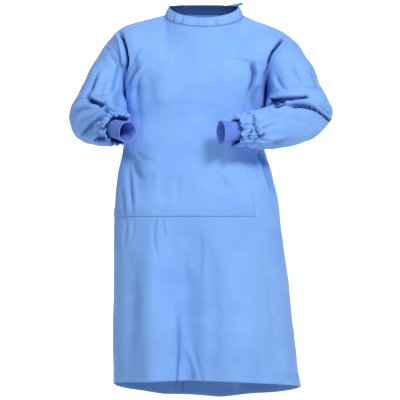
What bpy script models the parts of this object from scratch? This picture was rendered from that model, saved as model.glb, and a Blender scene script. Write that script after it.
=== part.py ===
"""A reusable surgical gown in its worn shape, hollow and open at the neck, hem and cuffs.

The cloth pieces are walls on one shape: rings round the body from hem to armpit, paths from there
over the shoulders to the neck, and a loft of sections down each bent sleeve. Metres, +Z up, front
towards -Y, +X on the wearer's left. The origin is in the middle of the neck, level with the points
where the shoulder seams meet the collar.
"""

from collections import namedtuple

import bmesh
import bpy
import numpy as np
from mathutils import Vector

# Cloth and sewing
CLOTH = 0.0012
DOUBLE_CLOTH = 0.0018
KNIT = 0.0020
SEAM_GAP = 0.0003
COLLAR_SEAM_GAP = 0.0006
ARMHOLE_GAP = 0.0002
OVERLAY_GAP = 0.0004

# Body levels, measured at the side seams
HEM_Z = -1.157
ARMPIT_Z = -0.232
FRONT_HEM_RISE = 0.038
BACK_HEM_DROP = 0.066
HEM_TILT = 0.012

# Neck and collar
NECK_CENTRE_X = 0.003
NECK_HALF_WIDTH = 0.1225
NECK_FRONT_Y = -0.098
NECK_BACK_Y = 0.080
NECK_SIDE_Z = 0.008
NECK_FRONT_Z = -0.039
NECK_BACK_Z = 0.018
COLLAR_HEIGHT = 0.029
CORNER_REACH = 0.16
COLLAR_LEAN = 0.013

# How the panels are divided
NECK_SHARE = 0.44
NECK_STEPS = 10
SHOULDER_STEPS = 7
UPPER_STEPS = 16
ROWS_PER_STATION = 1.4

# The reinforcement's edges as shares of the way from hem to armpit, and the rows between them
REINFORCEMENT_FOOT = 0.572
REINFORCEMENT_TOP = 0.952
SKIRT_STEPS = 7
REINFORCED_STEPS = 6
REINFORCEMENT_INSET = 1

# Back opening: the wearer's right side laps over the left
LAP_SHARE = 0.20
LAP_RISE = 0.0040

# Rib cuffs
CUFF_RIBS = 24
RIB_HEIGHT = 0.0006
CUFF_ROWS = 3

# Gathers where a sleeve is drawn into its cuff
GATHERS = 16
GATHER_DEPTH = 0.0026

# Ties
TIE_THICKNESS = 0.0015
TIE_GAP = 0.0008
NECK_TIE_WIDTH = 0.012
WAIST_TIE_WIDTH = 0.022
WAIST_TIE_LEVEL = 0.78
WAIST_TIE_START = 0.97
WAIST_END_LENGTH = 0.26
TIE_PARTING = 0.0015
KNOT_LIFT = TIE_GAP + TIE_THICKNESS + SEAM_GAP
WAIST_KNOT = (0.032, 0.011, 0.028)
NECK_KNOT = (0.022, 0.009, 0.025)
NECK_KNOT_ROW = 0.55
HANGING_LIFT = 0.0025
NECK_END_LEVEL = 1.975
NECK_END_SHARE = 0.50
NECK_END_PATH = ((0.034, 0.0935, 0.031), (0.065, 0.096, 0.039), (0.100, 0.093, 0.045), (0.128, 0.084, 0.046))

CLOTH_BLUE = (0.266, 0.472, 0.905, 1.0)
CUFF_BLUE = (0.195, 0.330, 0.860, 1.0)

# The body's rings: how far each side, the front and the back stand from the middle line x = centre
Section = namedtuple("Section", "z centre to_right to_left front back squareness")
BODY_SECTIONS = [
    Section(-1.157, 0.010, 0.291, 0.296, 0.215, 0.230, 2.15),
    Section(-1.000, 0.004, 0.288, 0.282, 0.203, 0.214, 2.20),
    Section(-0.850, -0.002, 0.279, 0.273, 0.187, 0.190, 2.30),
    Section(-0.665, -0.010, 0.270, 0.256, 0.166, 0.165, 2.40),
    Section(-0.570, -0.018, 0.256, 0.254, 0.154, 0.150, 2.45),
    Section(-0.480, -0.026, 0.239, 0.238, 0.144, 0.130, 2.45),
    Section(-0.420, -0.029, 0.223, 0.223, 0.138, 0.112, 2.40),
    Section(-0.330, -0.026, 0.219, 0.219, 0.142, 0.120, 2.50),
    Section(-0.232, -0.021, 0.222, 0.221, 0.138, 0.126, 2.70),
]

# The shoulder seams from the collar to the sleeve, seen from the front
SeamPoint = namedtuple("SeamPoint", "share x z")
SHOULDER_SEAM = {
    "left": [
        SeamPoint(0.00, 0.1255, 0.008),
        SeamPoint(0.20, 0.1610, -0.008),
        SeamPoint(0.50, 0.2110, -0.0265),
        SeamPoint(0.78, 0.2580, -0.0490),
        SeamPoint(1.00, 0.3000, -0.083),
    ],
    "right": [
        SeamPoint(0.00, -0.1195, 0.008),
        SeamPoint(0.30, -0.1830, -0.008),
        SeamPoint(0.62, -0.2460, -0.027),
        SeamPoint(0.80, -0.2740, -0.046),
        SeamPoint(1.00, -0.3040, -0.081),
    ],
}

# The armholes from the armpit up to the shoulder seam, round the front and round the back
ArmholePoint = namedtuple("ArmholePoint", "share x y z")
ARMHOLE = {
    ("left", "front"): [
        ArmholePoint(0.00, 0.200, 0.000, -0.232),
        ArmholePoint(0.30, 0.204, -0.054, -0.186),
        ArmholePoint(0.56, 0.221, -0.080, -0.134),
        ArmholePoint(0.78, 0.252, -0.062, -0.100),
        ArmholePoint(1.00, 0.300, 0.000, -0.083),
    ],
    ("left", "back"): [
        ArmholePoint(0.00, 0.200, 0.000, -0.232),
        ArmholePoint(0.30, 0.209, 0.056, -0.186),
        ArmholePoint(0.58, 0.234, 0.082, -0.132),
        ArmholePoint(0.80, 0.268, 0.062, -0.094),
        ArmholePoint(1.00, 0.300, 0.000, -0.083),
    ],
    ("right", "front"): [
        ArmholePoint(0.00, -0.243, 0.000, -0.232),
        ArmholePoint(0.30, -0.245, -0.054, -0.186),
        ArmholePoint(0.56, -0.258, -0.078, -0.134),
        ArmholePoint(0.78, -0.281, -0.060, -0.102),
        ArmholePoint(1.00, -0.304, 0.000, -0.081),
    ],
    ("right", "back"): [
        ArmholePoint(0.00, -0.243, 0.000, -0.232),
        ArmholePoint(0.30, -0.250, 0.056, -0.186),
        ArmholePoint(0.58, -0.265, 0.082, -0.132),
        ArmholePoint(0.80, -0.285, 0.060, -0.094),
        ArmholePoint(1.00, -0.304, 0.000, -0.081),
    ],
}

# Sections down each sleeve. The inner point is on the side that the elbow closes on, the outer one
# opposite it, and half_width is across the two. The armhole comes before the first row.
Station = namedtuple("Station", "inner outer half_width")
SLEEVE_STATIONS = {
    "left": [
        Station((0.2120, -0.012, -0.246), (0.3420, 0.000, -0.150), 0.076),
        Station((0.2100, -0.034, -0.255), (0.3610, 0.006, -0.203), 0.078),
        Station((0.2080, -0.054, -0.262), (0.3800, 0.010, -0.250), 0.078),
        Station((0.2070, -0.071, -0.268), (0.3950, 0.002, -0.291), 0.077),
        Station((0.2080, -0.086, -0.274), (0.4020, -0.020, -0.327), 0.076),
        Station((0.2100, -0.099, -0.280), (0.3850, -0.045, -0.360), 0.073),
        Station((0.2100, -0.111, -0.284), (0.3480, -0.076, -0.387), 0.070),
        Station((0.2020, -0.127, -0.288), (0.3010, -0.105, -0.400), 0.064),
        Station((0.1830, -0.149, -0.294), (0.2400, -0.138, -0.409), 0.060),
        Station((0.1580, -0.170, -0.303), (0.1820, -0.170, -0.413), 0.056),
        Station((0.1340, -0.186, -0.315), (0.1400, -0.190, -0.411), 0.048),
        Station((0.1200, -0.1940, -0.330), (0.1200, -0.198, -0.401), 0.036),
        Station((0.1170, -0.1960, -0.3385), (0.1170, -0.199, -0.3955), 0.0290),
    ],
    "right": [
        Station((-0.2550, -0.012, -0.246), (-0.3480, 0.002, -0.148), 0.074),
        Station((-0.2550, -0.034, -0.254), (-0.3660, 0.008, -0.200), 0.076),
        Station((-0.2560, -0.056, -0.260), (-0.3840, 0.016, -0.253), 0.076),
        Station((-0.2580, -0.073, -0.266), (-0.3990, 0.022, -0.300), 0.076),
        Station((-0.2600, -0.088, -0.272), (-0.4060, 0.020, -0.341), 0.075),
        Station((-0.2610, -0.100, -0.277), (-0.3960, 0.002, -0.373), 0.073),
        Station((-0.2610, -0.111, -0.281), (-0.3750, -0.026, -0.392), 0.070),
        Station((-0.2600, -0.121, -0.286), (-0.3500, -0.060, -0.402), 0.066),
        Station((-0.2570, -0.131, -0.292), (-0.3270, -0.090, -0.406), 0.062),
        Station((-0.2550, -0.140, -0.299), (-0.3060, -0.116, -0.406), 0.057),
        Station((-0.2599, -0.1485, -0.3030), (-0.2905, -0.1433, -0.3985), 0.049),
        Station((-0.2603, -0.1604, -0.3171), (-0.2827, -0.1556, -0.3939), 0.038),
        Station((-0.2600, -0.1695, -0.3320), (-0.2760, -0.1655, -0.3870), 0.029),
    ],
}
FIRST_REINFORCED_STATION = {"left": 3, "right": 4}
SLEEVE_SIGN = {"left": -1.0, "right": 1.0}
GATHER_STATIONS = 4
PLACE_STEP = 0.05
FIRST_RINGS = np.array([0.0, 0.5])

# The rib cuffs run on from the last sleeve section to these at the wrist
CUFF_END = {
    "left": Station((0.0510, -0.2240, -0.3370), (0.0550, -0.2270, -0.4080), 0.0320),
    "right": Station((-0.2200, -0.2240, -0.3390), (-0.2320, -0.2200, -0.4040), 0.0320),
}

# The largest folds, each a curve through three points seen from the front. Depth is inward when
# negative, and fades to nothing over the share of its length that each end gives.
Fold = namedtuple("Fold", "name x0 z0 x1 z1 x2 z2 half_width depth fade_in fade_out")
FRONT_FOLDS = [
    Fold("trough between the legs", -0.070, -0.60, -0.068, -0.84, -0.052, -1.14, 0.040, -0.022, 0.7, 0.0),
    Fold("ridge down the right leg", -0.150, -0.52, -0.178, -0.85, -0.190, -1.14, 0.052, 0.013, 0.6, 0.0),
    Fold("ridge down the left leg", 0.100, -0.55, 0.115, -0.85, 0.130, -1.14, 0.085, 0.015, 0.6, 0.0),
    Fold("trough by the left side", 0.200, -0.66, 0.215, -0.85, 0.235, -1.14, 0.035, -0.011, 0.5, 0.2),
    Fold("left breast fold", 0.160, -0.140, 0.156, -0.20, 0.146, -0.31, 0.024, -0.011, 0.2, 0.6),
    Fold("right breast fold", -0.176, -0.170, -0.168, -0.23, -0.172, -0.34, 0.026, -0.009, 0.4, 0.6),
    Fold("left armhole crease", 0.255, -0.060, 0.226, -0.100, 0.200, -0.160, 0.022, -0.008, 0.3, 0.3),
    Fold("right armhole crease", -0.250, -0.045, -0.236, -0.105, -0.228, -0.180, 0.022, -0.009, 0.3, 0.3),
    Fold("left waist pull", 0.196, -0.44, 0.160, -0.53, 0.130, -0.66, 0.030, 0.008, 0.3, 0.7),
    Fold("right waist pull", -0.235, -0.43, -0.205, -0.52, -0.190, -0.62, 0.026, -0.008, 0.3, 0.6),
]
BACK_FOLDS = [
    Fold("left side billow", 0.205, -0.17, 0.208, -0.26, 0.200, -0.36, 0.030, 0.018, 0.4, 0.4),
    Fold("right side billow", -0.250, -0.17, -0.252, -0.25, -0.250, -0.33, 0.030, 0.017, 0.4, 0.4),
    Fold("left shoulder blade fold", 0.150, -0.15, 0.140, -0.25, 0.120, -0.38, 0.035, -0.009, 0.4, 0.4),
    Fold("right shoulder blade fold", -0.190, -0.15, -0.180, -0.25, -0.160, -0.38, 0.035, -0.009, 0.4, 0.4),
    Fold("left skirt ridge", 0.120, -0.50, 0.150, -0.80, 0.165, -1.20, 0.050, 0.016, 0.5, 0.0),
    Fold("left skirt trough", 0.030, -0.55, 0.050, -0.80, 0.062, -1.22, 0.040, -0.014, 0.6, 0.0),
    Fold("middle skirt ridge", -0.050, -0.50, -0.045, -0.80, -0.040, -1.22, 0.045, 0.013, 0.6, 0.0),
    Fold("right skirt trough", -0.110, -0.52, -0.130, -0.80, -0.140, -1.22, 0.038, -0.015, 0.6, 0.0),
    Fold("right skirt ridge", -0.170, -0.50, -0.200, -0.80, -0.215, -1.18, 0.040, 0.013, 0.6, 0.0),
]
SLEEVE_FOLDS = {
    "left": [
        Fold("upper elbow crease", 0.214, -0.262, 0.270, -0.262, 0.342, -0.250, 0.010, -0.012, 0.1, 0.3),
        Fold("elbow roll", 0.262, -0.272, 0.320, -0.270, 0.400, -0.292, 0.012, 0.007, 0.3, 0.3),
        Fold("lower elbow crease", 0.252, -0.282, 0.330, -0.288, 0.412, -0.316, 0.010, -0.012, 0.2, 0.1),
        Fold("forearm drag line", 0.170, -0.340, 0.260, -0.320, 0.380, -0.330, 0.020, -0.006, 0.3, 0.4),
    ],
    "right": [
        Fold("elbow crease", -0.362, -0.262, -0.330, -0.272, -0.290, -0.280, 0.010, -0.012, 0.2, 0.2),
        Fold("forearm ridge", -0.415, -0.296, -0.365, -0.285, -0.290, -0.290, 0.012, 0.007, 0.2, 0.3),
        Fold("forearm trough", -0.375, -0.385, -0.345, -0.345, -0.300, -0.310, 0.014, -0.008, 0.3, 0.3),
        Fold("biceps trough", -0.350, -0.180, -0.345, -0.215, -0.350, -0.255, 0.022, -0.007, 0.5, 0.3),
    ],
}
FOLD_SAMPLES = 25


def clear_scene():
    """Removes every object, so that the script starts from nothing."""
    for old in list(bpy.data.objects):
        bpy.data.objects.remove(old)


def unit(vectors):
    """The same directions at length one."""
    return vectors / np.maximum(np.linalg.norm(vectors, axis=-1, keepdims=True), 1e-12)


def ease(share):
    """Rises from 0 to 1 with no slope at either end."""
    share = np.clip(share, 0.0, 1.0)
    return share * share * (3.0 - 2.0 * share)


def smooth(keys, values, at):
    """A smooth curve through values, one for each key, read at any place along the keys."""
    keys = np.asarray(keys, float)
    values = np.asarray(values, float)
    steps = np.diff(keys)
    shape = (-1,) + (1,) * (values.ndim - 1)
    slopes = np.diff(values, axis=0) / steps.reshape(shape)
    tangents = np.concatenate([slopes[:1], (slopes[1:] + slopes[:-1]) / 2.0, slopes[-1:]])
    at = np.clip(np.asarray(at, float), keys[0], keys[-1])
    span = np.clip(np.searchsorted(keys, at, side="right") - 1, 0, len(keys) - 2)
    share = ((at - keys[span]) / steps[span]).reshape(at.shape + (1,) * (values.ndim - 1))
    width = steps[span].reshape(share.shape)
    return (
        values[span] * (2 * share**3 - 3 * share**2 + 1)
        + tangents[span] * width * (share**3 - 2 * share**2 + share)
        + values[span + 1] * (3 * share**2 - 2 * share**3)
        + tangents[span + 1] * width * (share**3 - share**2)
    )


def quarter_ring(side, depth, squareness, shares):
    """Points at even lengths along a quarter of a ring, from its middle (share 0) to its side (share 1)."""
    angles = np.linspace(0.0, np.pi / 2, 60)
    reach = (
        (np.cos(angles) / depth) ** squareness + (np.sin(angles) / side) ** squareness
    ) ** (-1.0 / squareness)
    x, y = reach * np.sin(angles), reach * np.cos(angles)
    along = np.concatenate([[0.0], np.cumsum(np.hypot(np.diff(x), np.diff(y)))])
    along /= along[-1]
    return np.interp(shares, along, x), np.interp(shares, along, y)


def lower_body(half, across, levels):
    """Rings of the front or back half, from the hem (level 0) to the armpit (level 1)."""
    levels = np.asarray(levels, float)
    heights = [section.z for section in BODY_SECTIONS]
    z_at_side = HEM_Z + (ARMPIT_Z - HEM_Z) * levels
    rows = smooth(heights, [section[1:] for section in BODY_SECTIONS], z_at_side)
    hem_lift = (FRONT_HEM_RISE if half == "front" else -BACK_HEM_DROP) * np.cos(np.pi / 2 * across)
    grid = np.zeros((len(levels), len(across), 3))
    for row, level, z, section in zip(grid, levels, z_at_side, rows):
        centre, to_right, to_left, front, back, squareness = section
        depth = front if half == "front" else back
        for sign, side, here in ((-1.0, to_right, across <= 0), (1.0, to_left, across > 0)):
            x, y = quarter_ring(side, depth, squareness, np.abs(across[here]))
            row[here, 0] = centre + sign * x
            row[here, 1] = -y if half == "front" else y
        row[:, 2] = z + (hem_lift - HEM_TILT * across / 2) * (1.0 - level) ** 3
    return grid


def top_edge(half, across):
    """The shoulder seams and the neckline, from one shoulder tip to the other."""
    edge = np.zeros((len(across), 3))
    outward = (np.abs(across) - NECK_SHARE) / (1.0 - NECK_SHARE)
    for side, here in (("left", across > NECK_SHARE), ("right", across < -NECK_SHARE)):
        seam = SHOULDER_SEAM[side]
        points = smooth([p.share for p in seam], [(p.x, 0.0, p.z) for p in seam], outward[here])
        edge[here] = points
    neck = np.abs(across) <= NECK_SHARE + 1e-9
    turn = across[neck] / NECK_SHARE * np.pi / 2
    y_far, z_far = (NECK_FRONT_Y, NECK_FRONT_Z) if half == "front" else (NECK_BACK_Y, NECK_BACK_Z)
    edge[neck, 0] = NECK_CENTRE_X + NECK_HALF_WIDTH * np.sin(turn)
    edge[neck, 1] = y_far * np.cos(turn)
    edge[neck, 2] = NECK_SIDE_Z + (z_far - NECK_SIDE_Z) * np.cos(turn)
    return edge


def soft_top_edge(half, across):
    """The top edge with its corners at the neck rounded off, for the cloth well below it."""
    reach = CORNER_REACH * ease((1.0 - np.abs(across)) / 0.35)
    shifts = np.linspace(-1.0, 1.0, 9)
    weights = np.cos(shifts * np.pi / 2) ** 2 + 0.02
    return sum(top_edge(half, across + shift * reach) * w for shift, w in zip(shifts, weights)) / weights.sum()


def armhole(side, half, shares):
    """The armhole seam from the armpit (share 0) to the shoulder tip (share 1)."""
    rows = ARMHOLE[side, half]
    return smooth([p.share for p in rows], [(p.x, p.y, p.z) for p in rows], shares)


def chest_paths(half, across, shares):
    """Paths from the armpit level (share 0) over the chest or back to the top edge (share 1)."""
    below, foot = lower_body(half, across, [0.97, 1.0])
    s = np.asarray(shares, float)[:, None, None]
    top, soft = top_edge(half, across), soft_top_edge(half, across)
    length = np.linalg.norm(top - foot, axis=1, keepdims=True)
    rise = unit(foot - below) * length
    backward = 1.0 if half == "front" else -1.0
    over_shoulder = ease((np.abs(across) - 0.20) / 0.45)[:, None]
    at_neck = np.array([0.0, 0.30 * backward, 1.0])
    at_shoulder = np.array([0.0, 1.0 * backward, 0.28])
    arrive = unit(at_neck * (1 - over_shoulder) + at_shoulder * over_shoulder) * length
    top_here = soft + (top - soft) * ease((s - 0.45) / 0.55)
    return (
        foot * (2 * s**3 - 3 * s**2 + 1)
        + rise * (s**3 - 2 * s**2 + s)
        + top_here * (3 * s**2 - 2 * s**3)
        + arrive * (s**3 - s**2)
    )


def upper_body(half, across, levels):
    """The chest or back above the armpits, its paths bent to end on the armholes."""
    shares = np.asarray(levels, float) - 1.0
    grid = chest_paths(half, across, shares)
    near_arm = ease((np.abs(across) - 0.40) / 0.60)[None, :, None]
    for side, edge, here in (("right", -1.0, across < 0), ("left", 1.0, across > 0)):
        unbent = chest_paths(half, np.array([edge]), shares)
        shift = armhole(side, half, shares)[:, None] - unbent
        grid[:, here] += near_arm[:, here] * shift
    return grid


def body(half, across, levels):
    """The front or back half of the body at any places across (-1 to 1) and levels (0 to 2)."""
    levels = np.asarray(levels, float)
    low = lower_body(half, across, levels[levels <= 1.0])
    high = upper_body(half, across, levels[levels > 1.0])
    return np.concatenate([low, high])


def section_ring(side, station, axis, turns):
    """One section: turn 0 is its inner point, a quarter turn its front, half a turn its outer point."""
    inner, outer = np.array(station.inner), np.array(station.outer)
    to_inner = (inner - outer) / 2
    to_front = -SLEEVE_SIGN[side] * unit(np.cross(to_inner, axis)) * station.half_width
    middle = (inner + outer) / 2
    return middle + np.cos(turns)[:, None] * to_inner + np.sin(turns)[:, None] * to_front


def middle_of(station):
    """The point halfway between a section's inner and outer points."""
    return (np.array(station.inner) + np.array(station.outer)) / 2


def sleeve_sections(side, turns):
    """The armhole, every section down the sleeve and the cuff's end, read at the same turns."""
    half_turns = turns / np.pi
    front = armhole(side, "front", half_turns)
    back = armhole(side, "back", 2.0 - half_turns)
    rings = [np.where((half_turns <= 1.0)[:, None], front, back)]
    stations = SLEEVE_STATIONS[side] + [CUFF_END[side]]
    axes = unit(np.gradient([middle_of(station) for station in stations], axis=0))
    rings += [section_ring(side, station, axis, turns) for station, axis in zip(stations, axes)]
    return np.array(rings)


def sleeve(side, turns, places):
    """The sleeve's surface at any turns round it and places along it, counted in sections."""
    rings = sleeve_sections(side, turns)[:-1]
    return smooth(np.arange(len(rings)), rings, places)


def normals_of(grid, closed):
    """Normals at a grid's points, from the way its rows and columns run."""
    if closed:
        across = np.roll(grid, -1, axis=1) - np.roll(grid, 1, axis=1)
    else:
        across = np.gradient(grid, axis=1)
    return unit(np.cross(across, np.gradient(grid, axis=0)))


def fold_depth(fold, points):
    """How far one fold moves each point, from its distance to the fold's line seen from the front."""
    t = np.linspace(0.0, 1.0, FOLD_SAMPLES)
    ends = np.array([[fold.x0, fold.z0], [fold.x1, fold.z1], [fold.x2, fold.z2]])
    middle = 2 * ends[1] - (ends[0] + ends[2]) / 2
    line = (
        np.outer((1 - t) ** 2, ends[0]) + np.outer(2 * t * (1 - t), middle) + np.outer(t**2, ends[2])
    )
    gaps = np.linalg.norm(points[..., None, [0, 2]] - line, axis=-1)
    nearest = gaps.argmin(axis=-1)
    share = t[nearest]
    rise = ease(share / fold.fade_in) if fold.fade_in else 1.0
    fall = ease((1.0 - share) / fold.fade_out) if fold.fade_out else 1.0
    return fold.depth * rise * fall * np.exp(-((gaps.min(axis=-1) / fold.half_width) ** 2))


def folded(grid, normals, folds, facing):
    """The grid with its folds pressed in or raised, on the side that faces the given way."""
    depth = sum(fold_depth(fold, grid) for fold in folds)
    turned = ease((normals[..., 1] * facing + 0.15) / 0.5)
    return grid + normals * (depth * turned)[..., None]


def grid_triangles(rows, columns, closed):
    """Triangles of a grid, all split the same way, as indices into its flattened points."""
    last = columns if closed else columns - 1
    triangles = []
    for i in range(rows - 1):
        for j in range(last):
            a, b = i * columns + j, i * columns + (j + 1) % columns
            c, d = b + columns, a + columns
            triangles += [(a, b, c), (a, c, d)]
    return triangles


def rim_pairs(rows, columns, closed):
    """The grid's border, as pairs of neighbouring points in order."""
    bottom = [j for j in range(columns)]
    top = [(rows - 1) * columns + j for j in range(columns)]
    if closed:
        return list(zip(bottom, bottom[1:] + bottom[:1])) + list(zip(top[1:] + top[:1], top))
    left = [i * columns for i in range(rows)]
    right = [i * columns + columns - 1 for i in range(rows)]
    loop = bottom[:-1] + right[:-1] + top[:0:-1] + left[:0:-1]
    return list(zip(loop, loop[1:] + loop[:1]))


def wall(name, outer, inner, material, closed=False):
    """A closed wall between two grids of the same size, made as one object."""
    rows, columns = outer.shape[:2]
    count = rows * columns
    mesh = bmesh.new()
    points = [mesh.verts.new(p) for p in np.concatenate([outer.reshape(-1, 3), inner.reshape(-1, 3)])]
    for a, b, c in grid_triangles(rows, columns, closed):
        mesh.faces.new((points[a], points[b], points[c]))
        mesh.faces.new((points[count + a], points[count + c], points[count + b]))
    for a, b in rim_pairs(rows, columns, closed):
        mesh.faces.new((points[b], points[a], points[count + a]))
        mesh.faces.new((points[b], points[count + a], points[count + b]))
    bmesh.ops.recalc_face_normals(mesh, faces=mesh.faces)
    return finish(name, mesh, material)


def finish(name, mesh, material):
    """Turns a bmesh into a named object in the gown's collection, shaded smooth."""
    data = bpy.data.meshes.new(name)
    mesh.to_mesh(data)
    mesh.free()
    data.materials.append(material)
    data.shade_smooth()
    made = bpy.data.objects.new(name, data)
    bpy.data.collections["surgical gown"].objects.link(made)
    return made


def drawn_in(grid, row, neighbour, gap):
    """Moves one border row or column of a grid back towards its neighbour, to leave a seam's gap."""
    edge, inside = grid[row], grid[neighbour]
    grid[row] = edge + unit(inside - edge) * gap


def open_seams(grid, rows=(), columns=()):
    """A copy of the grid drawn back at the named borders, each by half a seam's gap."""
    grid = grid.copy()
    for row in rows:
        drawn_in(grid, row, 1 if row == 0 else -2, SEAM_GAP / 2)
    turned = np.swapaxes(grid, 0, 1)
    for column in columns:
        drawn_in(turned, column, 1 if column == 0 else -2, SEAM_GAP / 2)
    return grid


def shared_normals(groups):
    """Normals at every grid's points, the same for all the points that meet at a seam.

    A group is a list of (points, closed, sign), where sign turns the normals outward. Each group
    counts once at a seam, so that two walls meeting at an angle are mitred evenly.
    """
    total = {}
    for group in groups:
        sums = {}
        for points, closed, sign in group:
            corners = points.reshape(-1, 3)[np.array(grid_triangles(*points.shape[:2], closed))]
            a, b, c = corners[:, 0], corners[:, 1], corners[:, 2]
            facing = sign * np.cross(b - a, c - a)
            for corner in (a, b, c):
                for key, value in zip(point_keys(corner), facing):
                    sums[key] = sums.get(key, 0.0) + value
        for key, value in sums.items():
            total[key] = total.get(key, 0.0) + unit(value)
    return [
        [
            unit(np.array([total[key] for key in point_keys(points.reshape(-1, 3))])).reshape(points.shape)
            for points, _, _ in group
        ]
        for group in groups
    ]


def point_keys(points):
    """A hashable name for each point, equal where points are equal."""
    return [tuple(point) for point in np.round(points, 6) + 0.0]


def panel_columns():
    """Where the columns of a body panel lie, from one side seam to the other."""
    neck = np.linspace(-NECK_SHARE, NECK_SHARE, NECK_STEPS + 1)
    shoulder = np.linspace(NECK_SHARE, 1.0, SHOULDER_STEPS + 1)[1:]
    return np.concatenate([-shoulder[::-1], neck, shoulder])


def panel_levels():
    """Where the rows of a body panel lie, with rows on both edges of the reinforcement."""
    skirt = np.linspace(0.0, REINFORCEMENT_FOOT, SKIRT_STEPS + 1)
    middle = np.linspace(REINFORCEMENT_FOOT, REINFORCEMENT_TOP, REINFORCED_STEPS + 1)[1:]
    upper = np.linspace(1.0, 2.0, UPPER_STEPS + 1)
    return np.concatenate([skirt, middle, upper])


def make_material(name, colour, roughness):
    """A matt cloth finish."""
    material = bpy.data.materials.new(name)
    material.use_nodes = True
    shader = material.node_tree.nodes["Principled BSDF"]
    shader.inputs["Base Color"].default_value = colour
    shader.inputs["Roughness"].default_value = roughness
    shader.inputs["Metallic"].default_value = 0.0
    return material


def body_shapes():
    """The folded front and back halves, before any seam is opened."""
    across, levels = panel_columns(), panel_levels()
    shapes = {}
    for half, folds, facing in (("front", FRONT_FOLDS, -1.0), ("back", BACK_FOLDS, 1.0)):
        grid = body(half, across, levels)
        outward = normals_of(grid, False) * (1.0 if half == "front" else -1.0)
        inside = folded(grid, outward, folds, facing)
        hold = border_hold(across, levels)
        shapes[half] = grid + (inside - grid) * hold[..., None]
    return across, shapes


def border_hold(across, levels):
    """0 on the seams that two pieces share and 1 away from them, so that folds don't part a seam."""
    side = ease((1.0 - np.abs(across)) / 0.10)[None, :]
    top = ease((2.0 - levels) / 0.25)[:, None]
    return side * top


def make_body(cloth):
    """The body's panels, the collar and the ties. Returns the normals at each armhole."""
    across, shapes = body_shapes()
    turns = np.arange(2 * UPPER_STEPS) * np.pi / UPPER_STEPS
    collar = collar_rows(collar_base(across, shapes))
    (front_normals, back_normals), (collar_normals,), left, right = shared_normals(
        [
            [(shapes["front"], False, 1.0), (shapes["back"], False, -1.0)],
            [(collar, True, -1.0)],
            [(sleeve("left", turns, FIRST_RINGS), True, SLEEVE_SIGN["left"])],
            [(sleeve("right", turns, FIRST_RINGS), True, SLEEVE_SIGN["right"])],
        ]
    )
    front = open_seams(shapes["front"], rows=(-1,), columns=(0, -1))
    wall("front_panel", front, front - front_normals * CLOTH, cloth)
    make_reinforcement(front, front_normals, cloth)
    make_back_panels(shapes["back"], back_normals, across, cloth)
    nape = make_collar(collar, collar_normals, across, cloth)
    make_ties(shapes["back"], back_normals, across, nape, cloth)
    return {"left": left[0], "right": right[0]}


def make_reinforcement(front, normals, cloth):
    """The second layer over the front from chest to thigh, made from the front's own points."""
    rows = slice(SKIRT_STEPS, SKIRT_STEPS + REINFORCED_STEPS + 1)
    columns = slice(REINFORCEMENT_INSET, -REINFORCEMENT_INSET)
    inner = front[rows, columns] + normals[rows, columns] * OVERLAY_GAP
    wall("front_reinforcement", inner + normals[rows, columns] * CLOTH, inner, cloth)


def lap_shift(across):
    """How far the lapping back panel stands out, growing before the lap starts."""
    return LAP_RISE * ease((across + LAP_SHARE + 0.12) / 0.12)


def make_back_panels(back, normals, across, cloth):
    """The left and right back panels, lapped down the middle."""
    left = across >= -LAP_SHARE - 1e-6
    right = across <= LAP_SHARE + 1e-6
    under = open_seams(back[:, left], rows=(-1,), columns=(-1,))
    wall("back_left", under, under - normals[:, left] * CLOTH, cloth)
    lifted = back + normals * lap_shift(across)[None, :, None]
    over = open_seams(lifted[:, right], rows=(-1,), columns=(0,))
    wall("back_right", over, over - normals[:, right] * CLOTH, cloth)


def collar_base(across, shapes):
    """The neckline all the way round, from the back middle over the left, front and right."""
    neck = np.abs(across) <= NECK_SHARE + 1e-6
    front = shapes["front"][-1][neck]
    back = shapes["back"][-1][neck]
    return np.concatenate([back, front[::-1][1:-1]])


def collar_rows(base):
    """The collar's band standing on the neckline: its base, its middle and its top edge."""
    centre = np.array([NECK_CENTRE_X, (NECK_FRONT_Y + NECK_BACK_Y) / 2, 0.0])
    inward = centre - base
    inward[:, 2] = 0.0
    inward = unit(inward)
    rows = []
    for share, bulge in ((0.0, 0.0), (0.5, -0.0015), (1.0, 0.0)):
        lean = COLLAR_LEAN * share + bulge
        rows.append(base + inward * lean + np.array([0.0, 0.0, COLLAR_HEIGHT * share]))
    return np.array(rows)


def make_collar(rows, normals, across, cloth):
    """The stand collar: one band, open at the back, whose right end laps over its left end.

    Returns the outer point and the outward direction low on the middle of its back.
    """
    neck = across[np.abs(across) <= NECK_SHARE + 1e-6]
    under = np.flatnonzero(neck >= -LAP_SHARE - 1e-6)[0]
    over = np.flatnonzero(neck <= LAP_SHARE + 1e-6)[-1]
    order = list(range(under, rows.shape[1])) + list(range(over + 1))
    shift = np.concatenate([np.zeros(rows.shape[1] - under), lap_shift(neck[: over + 1])])
    outward = normals[:, order]
    outer = rows[:, order] + outward * shift[None, :, None]
    outer[0] += np.array([0.0, 0.0, COLLAR_SEAM_GAP])
    wall("collar", outer, outer - outward * CLOTH, cloth)
    middle = outer.shape[1] - 1 - over + len(neck) // 2
    return on_surface(outer, NECK_KNOT_ROW, middle), on_surface(outward, NECK_KNOT_ROW, middle)


def make_ties(back, normals, across, nape, cloth):
    """The ties at the waist and the nape, each pair meeting under a knot."""
    lifted = back + normals * (lap_shift(across) * (across <= LAP_SHARE + 1e-6))[None, :, None]
    levels = panel_levels()
    middle = (len(across) - 1) / 2
    make_waist_ties(lifted, normals, across, levels, middle, cloth)
    make_neck_ties(lifted, normals, levels, middle, nape, cloth)


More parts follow.
